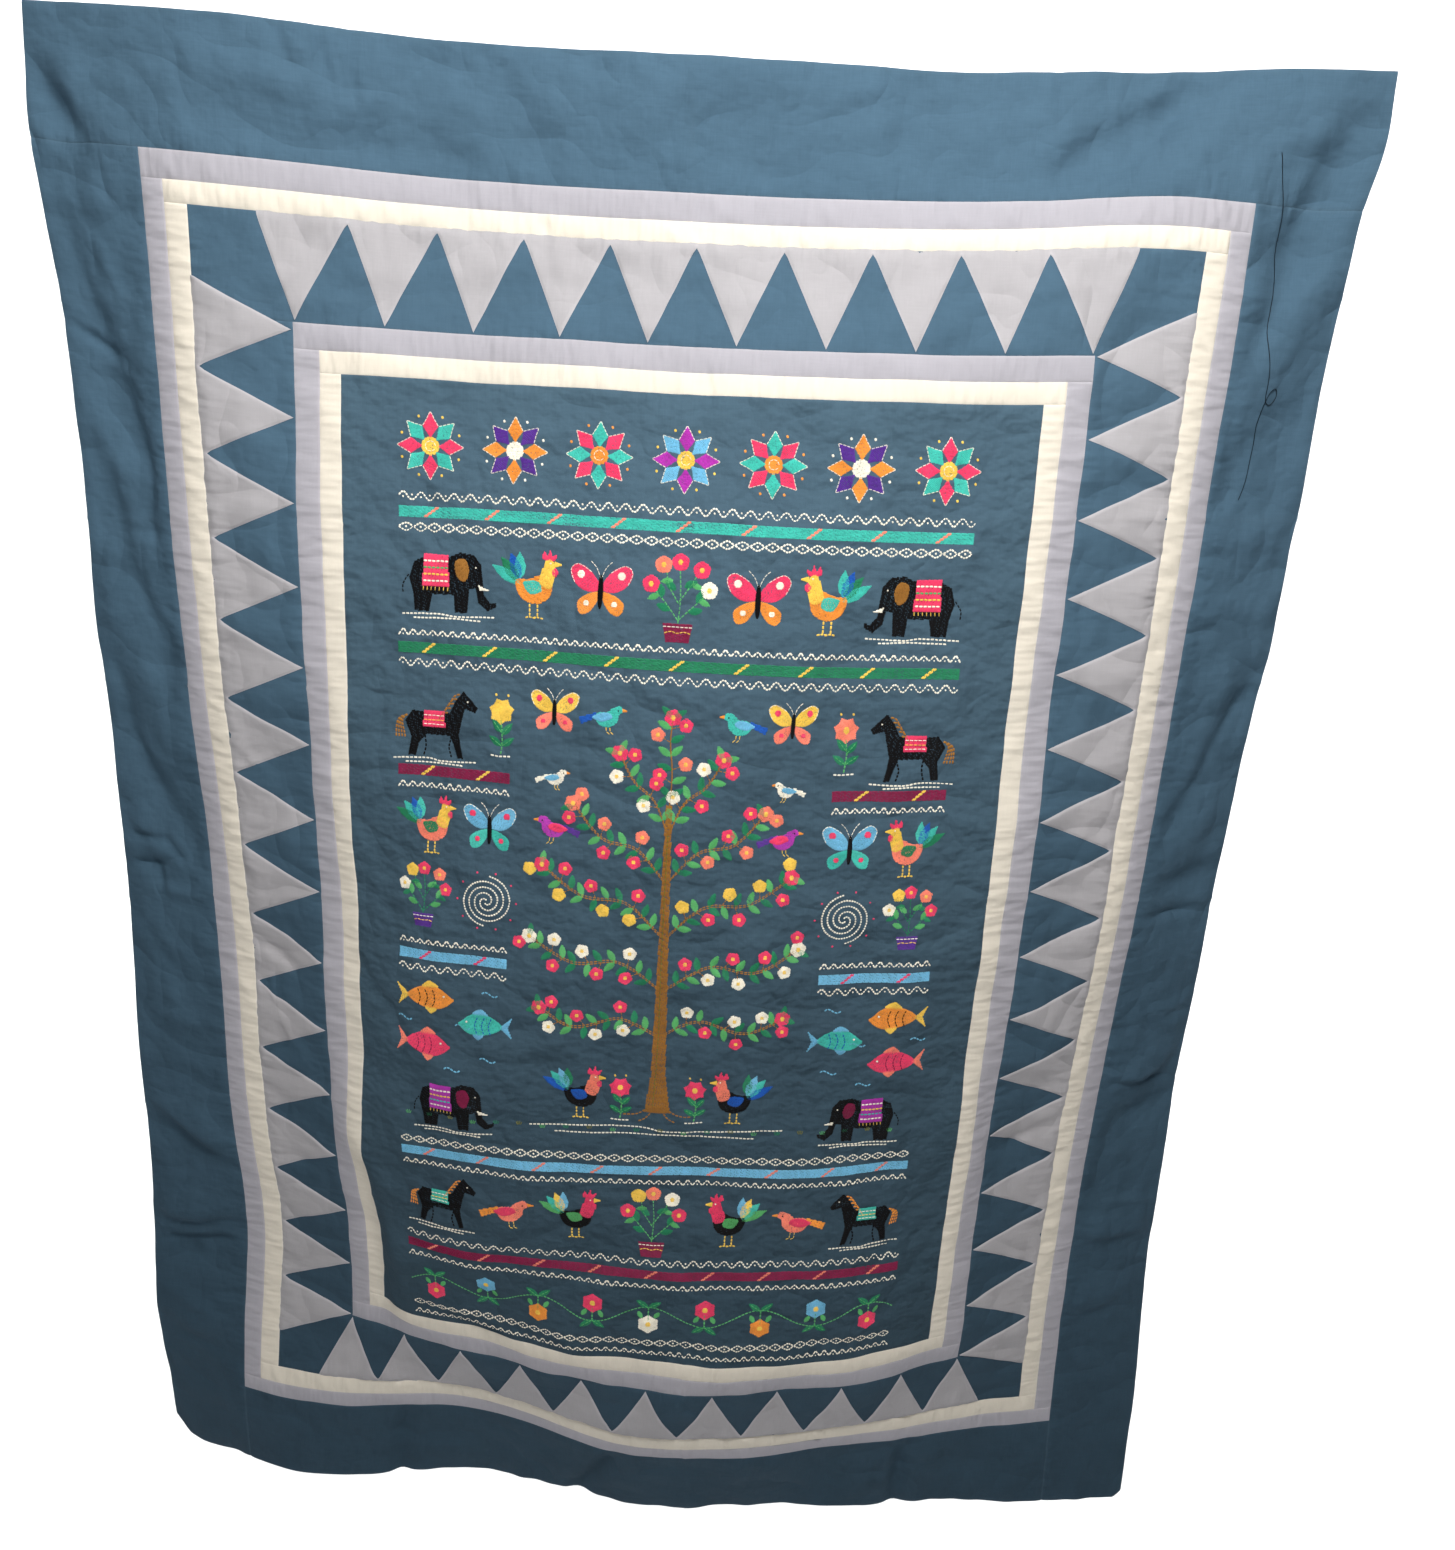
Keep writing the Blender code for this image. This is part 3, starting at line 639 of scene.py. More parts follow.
def rectangle(node, slot, box, sewn, cell, pucker=None, hem=(), sheet_thick=CLOTH_THICK):
    """A straight piece of cloth, with its sewn edges rolled down and its hems doubled."""
    left, top, right, bottom = box
    wide = right - left > bottom - top
    strip = min(right - left, bottom - top) < NARROW
    steps = [cell, cell]
    if strip:
        steps = [STRIP_LENGTH_CELL, STRIP_CELL] if wide else [STRIP_CELL, STRIP_LENGTH_CELL]
    across_lines = spaced(left, right, steps[0], "left" in sewn, "right" in sewn)
    down_lines = spaced(top, bottom, steps[1], "top" in sewn, "bottom" in sewn)
    across, down = np.meshgrid(across_lines, down_lines)
    from_side = edge_distance(across, left, right, "left" in sewn, "right" in sewn)
    from_end = edge_distance(down, top, bottom, "top" in sewn, "bottom" in sewn)
    inside = np.maximum(np.minimum(from_side, from_end), 0)
    lift = seam_profile(np.minimum(from_side, from_end))
    if pucker:
        seed, seam, height = pucker
        along, inward = (across, down - seam) if wide else (down, across - seam)
        lift = lift + puckers(along, inward, seed, height) * (1 - bell(inside, 1, PUCKER_FADE))
    beside = beside_seams(across, down, from_side, from_end, wide if strip else None)
    thick = np.full(across.shape, sheet_thick)
    wear = bell(inside, *SEAM_WEAR)
    distances = {
        "left": across - left,
        "right": right - across,
        "top": down - top,
        "bottom": bottom - down,
    }
    for edge in hem:
        thick, lift, wear = hem_edge(distances[edge], thick, lift, wear)
    lay_sheet(node, slot, across, down, lift, thick, wear, beside)


def frame_box(inset):
    """Left, top, right and bottom of a frame line, drawn in from the sawtooth field's edge."""
    return -FIELD_RIGHT + inset, FIELD_TOP + inset, FIELD_RIGHT - inset, FIELD_BOTTOM - inset


def frame_strips(stem, insets, slot, seed, height, thick=CLOTH_THICK):
    """Four strips, each between an outer and an inner inset. The level ones run full width."""
    outer = {side: insets[side][0] for side in ALL_SIDES}
    inner = {side: insets[side][1] for side in ALL_SIDES}
    left, right = -FIELD_RIGHT + outer["left"], FIELD_RIGHT - outer["right"]
    top, bottom = FIELD_TOP + outer["top"], FIELD_BOTTOM - outer["bottom"]
    top_end, bottom_start = FIELD_TOP + inner["top"], FIELD_BOTTOM - inner["bottom"]
    boxes = {
        "top": ((left, top, right, top_end), FIELD_TOP),
        "bottom": ((left, bottom_start, right, bottom), FIELD_BOTTOM),
        "left": ((left, top_end, -FIELD_RIGHT + inner["left"], bottom_start), -FIELD_RIGHT),
        "right": ((FIELD_RIGHT - inner["right"], top_end, right, bottom_start), FIELD_RIGHT),
    }
    for k, (side, (box, seam)) in enumerate(boxes.items()):
        pucker = (seed + k, seam, height)
        rectangle(f"{stem}_{side}", slot, box, ALL_SIDES, CELL, pucker, sheet_thick=thick)


SEAM_PLACES = {
    "top": FIELD_TOP,
    "bottom": FIELD_BOTTOM,
    "left": -FIELD_RIGHT,
    "right": FIELD_RIGHT,
}


def even(outer, inner):
    """The same two insets on every side."""
    return {side: (outer, inner) for side in ALL_SIDES}


def tooth_depth(row, along):
    """How far inward the toothed strip reaches, along its outer edge."""
    stations, depths = [], []
    for k in range(row["count"]):
        stations += [row["start"] + k * row["pitch"], row["first_tip"] + k * row["tip_pitch"]]
        depths += [VALLEY, BAND - TIP_GAP]
    stations.append(row["start"] + row["count"] * row["pitch"])
    depths.append(VALLEY)
    straight = np.interp(along, stations, depths) - VALLEY
    depth = VALLEY * 0.6 + np.hypot(straight, VALLEY_ROUNDING)
    end = np.minimum(along - stations[0], stations[-1] - along)
    return depth * np.clip(end / TOOTH_ENDS, 0, 1) ** 0.5, np.array(stations)


def band_place(side, along, depth):
    """Flat place on the sawtooth band: along its outer edge, and inward from that edge."""
    if side == "top":
        return -FIELD_RIGHT + along, FIELD_TOP + depth
    if side == "bottom":
        return -FIELD_RIGHT + along, FIELD_BOTTOM - depth
    if side == "left":
        return -FIELD_RIGHT + depth, FIELD_TOP + along
    return FIELD_RIGHT - depth, FIELD_TOP + along


def tooth_columns(stations):
    """Places along the toothed strip, with every valley and tip among them."""
    columns = [stations[:1], stations[:1] + SLIVER]
    for low, high in zip(stations, stations[1:]):
        count = round((high - low) / TOOTH_COLUMN)
        columns.append(np.linspace(low, high, count + 1)[1:])
    columns[-1] = columns[-1][:-1]
    return np.concatenate([*columns, [stations[-1] - SLIVER, stations[-1]]])


def toothed_strip(side, slot, band_seed, gather_seed):
    """The toothed lavender strip, turned under along its teeth and laid over the blue band."""
    row = TEETH[side]
    along = tooth_columns(tooth_depth(row, np.zeros(1))[1])
    depth_here = np.maximum(tooth_depth(row, along)[0], LEAST_DEPTH)
    share = np.array(TOOTH_ROWS)[:, None]
    along_grid = np.repeat(along[None, :], len(share), axis=0)
    depth_grid = share * depth_here[None, :] - ALLOWANCE * (share == 0)
    slope = 2 * BAND / row["pitch"]
    to_edge = (depth_here[None, :] - depth_grid) / math.hypot(1, slope)
    inside = np.maximum(depth_grid, 0)
    proud = (1 - bell(to_edge, 1, TOOTH_EDGE)) * (1 - bell(inside, 0.7, TOOTH_ROOT))
    across, down = band_place(side, along_grid, depth_grid)
    level = side in ("top", "bottom")
    seam = SEAM_PLACES[side]
    at, inward = (across, down - seam) if level else (down, across - seam)
    fade = 1 - bell(inside, 1, PUCKER_FADE)
    ground = seam_profile(depth_grid) + fade * puckers(at, inward, band_seed, BAND_PUCKER)
    gathers = np.abs(puckers(at, inward, gather_seed, GATHER)) * np.exp(-inside / GATHER_REACH)
    lift = ground + TOOTH_BASE + TOOTH_LIFT * proud + gathers
    drawn = np.exp(-inside / DRAWN_REACH)
    if side in ("bottom", "left"):
        grids = (across, down, lift, to_edge, drawn)
        across, down, lift, to_edge, drawn = (grid[:, ::-1] for grid in grids)
    thick = np.full(across.shape, CLOTH_THICK)
    # Lighter turned edges of the teeth: worn, and partly a painted highlight along each fold
    wear = bell(to_edge, *TOOTH_WEAR_AND_HIGHLIGHT)
    beside = (across, down, drawn) if level else (down, across, drawn)
    lay_sheet(f"band_teeth_{side}", slot, across, down, lift, thick, wear, beside)


# Materials

WRINKLE_HEIGHT = 0.0030
THREAD_HEIGHT = 0.00018
# Crisp creases all over the blue: how many to a metre across and down, and how deep
CRUMPLES = (((9, 17), 5.0), ((26, 15), 3.2))
# Painted shade for light falling off down the blue: where it starts, and how much darker the hem is
PAINTED_SHADE_FROM = 0.30
BLUE_PAINTED_SHADE = 0.50
BLUE = (0.066, 0.126, 0.186)
BLUE_FADED = (0.105, 0.170, 0.225)
PANEL_BLUE = (0.065, 0.117, 0.163)
LAVENDER = (0.405, 0.398, 0.445)
# Worn lavender, which on the teeth's turned edges is also a painted highlight
LAVENDER_WORN_AND_HIGHLIGHT = (0.62, 0.60, 0.64)
TOOTH = (0.410, 0.402, 0.425)
CREAM = (0.760, 0.710, 0.615)
CREAM_FADED = (0.84, 0.80, 0.72)


def dyed_blue(ruffle):
    """What only the blue cottons have: no sheen, painted shade towards the hem, and a ruffle."""
    return {"sheen": 0.0, "painted_shade": BLUE_PAINTED_SHADE, "ruffle": ruffle}


# Colour, colour where worn (on the teeth also a painted highlight), spacing of two threads,
# unevenness of the colour, and what else differs
COTTON_KINDS = {
    "border_blue_cotton": (BLUE, BLUE_FADED, 0.00050, 0.20, dyed_blue(0.50)),
    "band_blue_cotton": (BLUE, BLUE_FADED, 0.00048, 0.16, dyed_blue(0.40)),
    "panel_blue_cotton": (PANEL_BLUE, BLUE_FADED, 0.00042, 0.18, dyed_blue(1.20)),
    "outer_lavender_cotton": (LAVENDER, LAVENDER_WORN_AND_HIGHLIGHT, 0.00045, 0.09, {}),
    "tooth_lavender_cotton": (TOOTH, LAVENDER_WORN_AND_HIGHLIGHT, 0.00045, 0.10, {"ruffle": 0.15}),
    "inner_lavender_cotton": (LAVENDER, LAVENDER_WORN_AND_HIGHLIGHT, 0.00045, 0.09, {}),
    "outer_cream_cotton": (CREAM, CREAM_FADED, 0.00045, 0.06, {}),
    "inner_cream_cotton": (CREAM, CREAM_FADED, 0.00045, 0.06, {}),
}


def new_material(name):
    """An empty Principled material with its node tree."""
    material = bpy.data.materials.new(name)
    material.use_nodes = True
    tree = material.node_tree
    return material, tree, tree.nodes["Principled BSDF"]


def add_node(tree, kind, links=(), **values):
    """A node with its values set and its inputs linked."""
    made = tree.nodes.new(kind)
    for key, value in values.items():
        setattr(made, key, value)
    for name, source in links:
        if isinstance(source, (int, float, tuple)):
            made.inputs[name].default_value = source
        else:
            tree.links.new(source, made.inputs[name])
    return made


def math_node(tree, operation, *inputs):
    """The value of a math operation."""
    made = tree.nodes.new("ShaderNodeMath")
    made.operation = operation
    for socket, source in zip(made.inputs, inputs):
        if isinstance(source, (int, float)):
            socket.default_value = source
        else:
            tree.links.new(source, socket)
    return made.outputs[0]


def noise(tree, vector, scale, detail=2.0, roughness=0.6):
    """Values of a noise texture over a stored vector, with a scale along each direction."""
    stretched = add_node(tree, "ShaderNodeMapping", [("Vector", vector), ("Scale", (*scale, 0.0))])
    inputs = [("Vector", stretched.outputs[0]), ("Scale", 1.0), ("Detail", detail)]
    made = add_node(tree, "ShaderNodeTexNoise", [*inputs, ("Roughness", roughness)])
    return made.outputs["Fac"]


def varied(tree, base, pattern, amount):
    """A tone with a pattern of middle value 0.5 laid over it."""
    low = math_node(tree, "SUBTRACT", base, amount / 2)
    return math_node(tree, "MULTIPLY_ADD", pattern, amount, low)


def finish(shader, roughness, sheen, sheen_roughness, specular):
    """The values of a matt thread or cloth."""
    shader.inputs["Roughness"].default_value = roughness
    shader.inputs["Sheen Weight"].default_value = sheen
    shader.inputs["Sheen Roughness"].default_value = sheen_roughness
    shader.inputs["Specular IOR Level"].default_value = specular


def cotton_tone(tree, flat, down, weave, slubs, variation, painted_shade):
    """How light the cloth is from place to place: slubs, soft patches, threads and painted shade."""
    tone = math_node(tree, "MULTIPLY_ADD", slubs, variation, 1 - variation)
    tone = varied(tree, tone, noise(tree, flat, (14, 14)), 0.9 * variation)
    tone = varied(tree, tone, noise(tree, flat, (70, 55)), 0.6 * variation)
    tone = math_node(tree, "MULTIPLY_ADD", weave, 0.25 * variation, tone)
    # Painted shade: darker towards the hem, for light that falls off down the cloth
    if painted_shade:
        places = [("From Min", PAINTED_SHADE_FROM), ("From Max", CLOTH_HEIGHT)]
        tones = [("To Min", 1.0), ("To Max", 1.0 - painted_shade)]
        painted_shade_factor = add_node(tree, "ShaderNodeMapRange", [("Value", down), *places, *tones])
        tone = math_node(tree, "MULTIPLY", tone, painted_shade_factor.outputs[0])
    return tone


def cotton_wrinkles(tree, flat, seam, near_seam, ruffle):
    """Height of the small wrinkles: square to the seams, and crisp ones where it is ruffled."""
    wrinkles = math_node(tree, "MULTIPLY", noise(tree, seam, (105, 30), 1.2), near_seam)
    if ruffle:
        ruffles = noise(tree, flat, (75, 95), 1.5)
        wrinkles = math_node(tree, "MULTIPLY_ADD", ruffles, ruffle, wrinkles)
        for scale, depth in CRUMPLES:
            waves = math_node(tree, "SUBTRACT", noise(tree, flat, scale, 1.5, 0.4), 0.5)
            bent = math_node(tree, "ABSOLUTE", waves)
            wrinkles = math_node(tree, "MULTIPLY_ADD", bent, depth, wrinkles)
    return wrinkles


def cotton_relief(tree, wrinkles, slubs, weave):
    """The small relief of the surface: its wrinkles, and its threads over them."""
    inputs = [("Strength", 1.0), ("Distance", WRINKLE_HEIGHT), ("Height", wrinkles)]
    wrinkled = add_node(tree, "ShaderNodeBump", inputs)
    threads = math_node(tree, "MULTIPLY_ADD", slubs, 0.5, weave)
    inputs = [("Strength", 0.35), ("Distance", THREAD_HEIGHT), ("Height", threads)]
    woven = add_node(tree, "ShaderNodeBump", [*inputs, ("Normal", wrinkled.outputs[0])])
    return woven.outputs[0]


def cotton(name, colour, wear_and_highlight_colour, thread, variation, sheen=0.05, painted_shade=0.0, ruffle=0.0):
    """Plain-woven cotton: threads one over one, slubs, soft patches of colour, worn edges and creases
    (on the teeth also a painted highlight), painted shade towards the hem where asked, and small
    wrinkles. Its points hold their flat place and wear, and their place beside a seam."""
    material, tree, shader = new_material(name)
    flat = add_node(tree, "ShaderNodeAttribute", attribute_name="flat").outputs["Vector"]
    seam = add_node(tree, "ShaderNodeAttribute", attribute_name="seam").outputs["Vector"]
    parts = add_node(tree, "ShaderNodeSeparateXYZ", [(0, flat)])
    seam_parts = add_node(tree, "ShaderNodeSeparateXYZ", [(0, seam)])
    turns = 2 * math.pi / thread
    warp = math_node(tree, "SINE", math_node(tree, "MULTIPLY", parts.outputs["X"], turns))
    weft = math_node(tree, "SINE", math_node(tree, "MULTIPLY", parts.outputs["Y"], turns))
    weave = math_node(tree, "MULTIPLY", warp, weft)
    slubs = math_node(tree, "ADD", noise(tree, flat, (900, 60)), noise(tree, flat, (60, 900)))
    tone = cotton_tone(tree, flat, parts.outputs["Y"], weave, slubs, variation, painted_shade)
    shade = add_node(tree, "ShaderNodeVectorMath", [(0, colour), (1, tone)], operation="MULTIPLY")
    # Share of the worn colour; on the teeth's edges it is also a painted highlight
    worn = math_node(tree, "MULTIPLY", parts.outputs["Z"], 0.45)
    mixed = add_node(tree, "ShaderNodeMix", [("Factor", worn)], data_type="RGBA")
    tree.links.new(shade.outputs[0], mixed.inputs[6])
    mixed.inputs[7].default_value = (*wear_and_highlight_colour, 1)
    tree.links.new(mixed.outputs[2], shader.inputs["Base Color"])
    finish(shader, roughness=0.85, sheen=sheen, sheen_roughness=0.45, specular=0.06)
    wrinkles = cotton_wrinkles(tree, flat, seam, seam_parts.outputs["Z"], ruffle)
    relief = cotton_relief(tree, wrinkles, slubs, weave)
    tree.links.new(relief, shader.inputs["Normal"])
    return material


COTTONS = {
    slot: cotton(slot, colour, wear_and_highlight_colour, thread, variation, **more)
    for slot, (colour, wear_and_highlight_colour, thread, variation, more) in COTTON_KINDS.items()
}

# The pieces of cloth: each border's box, the sides where it is sewn, and the sides with a hem

left_in, top_in, right_in, bottom_in = frame_box(-OUTER_STRIPS)
BORDER_PIECES = {
    "top": ((-HALF_WIDTH, 0, HALF_WIDTH, top_in), ("bottom",), ("left", "right", "top")),
    "left": ((-HALF_WIDTH, top_in, left_in, CLOTH_HEIGHT), ("top", "right"), ("left", "bottom")),
    "right": ((right_in, top_in, HALF_WIDTH, CLOTH_HEIGHT), ("top", "left"), ("right", "bottom")),
    "bottom": ((left_in, bottom_in, right_in, CLOTH_HEIGHT), ("left", "right", "top"), ("bottom",)),
}
for side_name, (box, sewn, hem) in BORDER_PIECES.items():
    rectangle(f"border_{side_name}", "border_blue_cotton", box, sewn, BORDER_CELL, hem=hem)

# Sewn strips that share a seam share its puckers, so they have the same seed
OUTER_SEED = 21
GATHER_SEED = 51
INNER_SEED = 61
INNER_SEAM = BAND + INNER_LAVENDER
CREAM_EDGE = BAND + INNER_STRIPS
lavender_insets = {side: (-OUTER_STRIPS, -CREAM_WIDTHS[side]) for side in ALL_SIDES}
cream_insets = {side: (-CREAM_WIDTHS[side], 0) for side in ALL_SIDES}
frame_strips("lavender_outer", lavender_insets, "outer_lavender_cotton", OUTER_SEED, STRIP_PUCKER)
frame_strips("cream_outer", cream_insets, "outer_cream_cotton", OUTER_SEED, STRIP_PUCKER)
frame_strips("band_ground", even(0, BAND), "band_blue_cotton", BAND_SEED, BAND_PUCKER, BAND_THICK)
for number, side_name in enumerate(TEETH):
    toothed_strip(side_name, "tooth_lavender_cotton", BAND_SEED + number, GATHER_SEED + number)
inner_lavender, inner_cream = even(BAND, INNER_SEAM), even(INNER_SEAM, CREAM_EDGE)
frame_strips("lavender_inner", inner_lavender, "inner_lavender_cotton", INNER_SEED, STRIP_PUCKER)
frame_strips("cream_inner", inner_cream, "inner_cream_cotton", INNER_SEED, STRIP_PUCKER)
rectangle("centre_panel", "panel_blue_cotton", frame_box(CREAM_EDGE), ALL_SIDES, PANEL_CELL)

# Embroidery
#
# Motifs are drawn in millimetres about their own middle, x to the right and y up. Each is made
# of satin or long-and-short fills and of back-stitched lines, and every stitch is a small
# rounded body that lies on the cloth.

THREADS = {
    "off_white": (0.88, 0.84, 0.72),
    "black": (0.0045, 0.0045, 0.0055),
    "pink": (0.80, 0.050, 0.145),
    "turquoise": (0.055, 0.50, 0.42),
    "magenta": (0.42, 0.035, 0.40),
    "light_blue": (0.16, 0.46, 0.68),
    "leaf_green": (0.020, 0.22, 0.105),
    "grass_green": (0.10, 0.42, 0.14),
    "orange": (0.82, 0.30, 0.045),
    "yellow": (0.86, 0.58, 0.090),
    "olive": (0.18, 0.18, 0.035),
    "maroon": (0.22, 0.012, 0.060),
    "brown": (0.33, 0.15, 0.030),
    "salmon": (0.88, 0.24, 0.16),
    "royal_blue": (0.010, 0.10, 0.46),
    "violet": (0.095, 0.030, 0.27),
}
# Sizes of the stitches, in millimetres
LINE_STITCH = 3.2
SATIN_LIMIT = 6.5              # a wider row of a fill is parted into several stitches
LINE_WIDTH = 1.40
FILL_STITCH = 5.0
FILL_PITCH = 0.92
FILL_WIDTH = 1.28 * FILL_PITCH
FILL_OVERLAP = 0.30
SHORTEST_STITCH = 0.5
STITCH_HEIGHT = 0.45
LAYER_RISE = 0.32
PANEL_LIFT = 0.20

stitches = {colour: [] for colour in THREADS}
stitch_rng = np.random.default_rng(5)


def turned(degrees):
    """Cosine and sine of an angle."""
    return math.cos(math.radians(degrees)), math.sin(math.radians(degrees))


def place_motif(across, down, size=1.0, mirror=False):
    """A function that takes motif points to flat places on the cloth, in millimetres."""
    scale = (-size if mirror else size, -size)

    def put(points):
        return np.asarray(points, float) * scale + (1000 * across, 1000 * down)

    return put


ON_PANEL = place_motif(0, 0)


def smooth(points, closed=False, parts=6):
    """A curve through the points."""
    points = np.asarray(points, float)
    if closed:
        padded = np.concatenate([points[-1:], points, points[:2]])
    else:
        padded = np.concatenate([points[:1], points, points[-1:]])
    before, start, end, after = padded[:-3], padded[1:-2], padded[2:-1], padded[3:]
    t = (np.arange(parts) / parts)[:, None, None]
    route = 0.5 * (
        2 * start
        + (end - before) * t
        + (2 * before - 5 * start + 4 * end - after) * t**2
        + (3 * start - before - 3 * end + after) * t**3
    )
    route = route.transpose(1, 0, 2).reshape(-1, 2)
    return route if closed else np.concatenate([route, points[-1:]])


def oval(x, y, half_width, half_height, count=20):
    """An oval outline."""
    at = np.linspace(0, 2 * math.pi, count, endpoint=False)
    return np.stack([x + half_width * np.cos(at), y + half_height * np.sin(at)], axis=-1)


def petal(x, y, turn, length, width):
    """A petal or leaf outline that grows from one point in a direction."""
    along = np.array([0, 0.18, 0.45, 0.75, 1.0, 0.75, 0.45, 0.18]) * length
    aside = np.array([0, 0.36, 0.50, 0.34, 0, -0.34, -0.50, -0.36]) * width
    c, s = turned(turn)
    return np.stack([x + c * along - s * aside, y + s * along + c * aside], axis=-1)


def add_stitches(colour, starts, ends, width, layer):
    """Keeps straight stitches for the thread's mesh."""
    if len(starts):
        sizes = np.tile([width, layer * LAYER_RISE], (len(starts), 1))
        stitches[colour].append(np.concatenate([starts, ends, sizes], axis=1))


def line(put, colour, points, layer=0, width=LINE_WIDTH, stitch=LINE_STITCH):
    """A back-stitched line."""
    route = put(points)
    lengths = np.hypot(*np.diff(route, axis=0).T)
    run = np.concatenate([[0], np.cumsum(lengths)])
    count = max(1, round(run[-1] / stitch))
    marks = np.linspace(0, run[-1], count + 1)
    at = np.stack([np.interp(marks, run, route[:, k]) for k in (0, 1)], axis=-1)
    at[1:-1] += stitch_rng.normal(0, 0.09, at[1:-1].shape)
    gap = 0.06 * (at[1:] - at[:-1])
    add_stitches(colour, at[:-1] + gap, at[1:] - gap, width, layer)


def stitch_marks(low, high, number):
    """Where the stitches along one span of a fill's row meet."""
    if high - low < SATIN_LIMIT:
        return np.array([low, high])
    first = low + FILL_STITCH * (0.35 + 0.65 * (number * 0.382 % 1))
    inner = np.arange(first, high - 1.2, FILL_STITCH)
    inner = inner + stitch_rng.normal(0, 0.25, inner.shape)
    return np.concatenate([[low], inner, [high]])


def fill(put, colour, outline, turn=0.0, layer=0):
    """Rows of stitches across an outline, side by side, in one direction of the motif."""
    corners = put(outline)
    ahead = put([(0, 0), turned(turn)])
    direction = ahead[1] - ahead[0]
    direction = direction / np.hypot(*direction)
    aside = np.array([-direction[1], direction[0]])
    u, v = corners @ direction, corners @ aside
    next_u, next_v = np.roll(u, -1), np.roll(v, -1)
    starts, ends = [], []
    for k, row in enumerate(np.arange(v.min() + FILL_PITCH / 2, v.max(), FILL_PITCH)):
        crossed = (v <= row) != (next_v <= row)
        share = (row - v[crossed]) / (next_v[crossed] - v[crossed])
        spans = np.sort(u[crossed] + share * (next_u[crossed] - u[crossed]))
        for low, high in zip(spans[::2], spans[1::2]):
            if high - low < SHORTEST_STITCH:
                continue
            marks = stitch_marks(low, high, k)
            wobble = stitch_rng.normal(0, 0.07, marks.shape)
            at = marks[:, None] * direction + (row + wobble)[:, None] * aside
            starts.append(at[:-1] - FILL_OVERLAP * direction)
            ends.append(at[1:] + FILL_OVERLAP * direction)
    if starts:
        add_stitches(colour, np.concatenate(starts), np.concatenate(ends), FILL_WIDTH, layer)


def patch(put, colour, points, turn=0.0, layer=0):
    """A fill with a curved outline."""
    fill(put, colour, smooth(points, True), turn, layer)


def curve(put, colour, points, layer=0, width=LINE_WIDTH):
    """A back-stitched line along a curve."""
    line(put, colour, smooth(points), layer, width)


def knot(put, colour, x, y, size=1.3, layer=0):
    """A small raised knot."""
    half = 0.55 * size
    ends = [(x - half, y - 0.4 * half), (x + half, y + 0.4 * half)]
    line(put, colour, ends, layer + 0.3, width=1.1 * size)


def flower(put, colour, x, y, radius, petals, turn):
    """A flower seen from the front."""
    width = 2.4 * radius * math.sin(math.pi / petals)
    for k in range(petals):
        angle = turn + 360 * k / petals
        fill(put, colour, petal(x, y, angle, radius, width), angle + 90)
    fill(put, "yellow", oval(x, y, radius * 0.26, radius * 0.26), 0, 0.8)


def leaf(put, colour, x, y, turn, length, width, vein=None):
    """A leaf in satin stitch, with a vein where it has one."""
    fill(put, colour, petal(x, y, turn, length, width), turn + 62)
    if vein:
        c, s = turned(turn)
        tip = (x + 0.85 * length * c, y + 0.85 * length * s)
        line(put, vein, [(x, y), tip], 0.8, width=0.7)


def ground_line(put, left, right, y):
    """Uneven ground under an animal or a plant."""
    middle = (left + right) / 2
    upper = [(left, y - 0.5), (middle - 6, y + 0.6), (middle + 5, y - 0.8), (right, y + 0.3)]
    lower = [(left + 8, y - 2.6), (middle, y - 2.0), (right - 9, y - 2.8)]
    curve(put, "off_white", upper)
    curve(put, "off_white", lower)


def star(put, colours, radius=25):
    """An eight-pointed star of diamonds, with a flower in its middle."""
    near, wide, half = 0.24 * radius, 0.58 * radius, 0.235 * radius
    knot_reach = 0.92 * radius
    for k in range(8):
        c, s = turned(45 * k)
        between = math.radians(45 * k) + 0.39
        diamond = [
            (near * c, near * s),
            (wide * c - half * s, wide * s + half * c),
            (radius * c, radius * s),
            (wide * c + half * s, wide * s - half * c),
        ]
        fill(put, colours[k % 2], diamond, 45 * k + 90)
        line(put, "off_white", diamond[1:], 0.6, width=0.7)
        knot(put, colours[2], knot_reach * math.cos(between), knot_reach * math.sin(between), 1.8)
    fill(put, colours[2], oval(0, 0, 0.27 * radius, 0.27 * radius), 0)
    line(put, "off_white", oval(0, 0, 0.16 * radius, 0.16 * radius, count=12), 0.8, width=0.7)


def butterfly(put, upper, lower, spots):
    """A butterfly with open wings."""
    for side in (1, -1):
        wing = [(0, 2), (6, 12), (15, 17), (20, 13), (17, 5), (9, 0)]
        low_wing = [(1, 0), (9, -2), (15, -7), (13, -14), (7, -13), (2, -6)]
        patch(put, upper, [(side * x, y) for x, y in wing], 25 * side + 90)
        patch(put, lower, [(side * x, y) for x, y in low_wing], -40 * side + 90)
        curve(put, "off_white", [(side * x, y) for x, y in wing[1:5]], 0.7, width=0.7)
        fill(put, spots, oval(side * 13, 10.5, 2.6, 2.3), 0, 1)
        fill(put, spots, oval(side * 9, -7.5, 1.9, 1.7), 0, 1)
        curve(put, "off_white", [(0, 8), (side * 3, 15), (side * 7, 19)], 0.4, width=0.65)
    fill(put, "black", oval(0, 0, 1.8, 10.5), 0, 1.2)


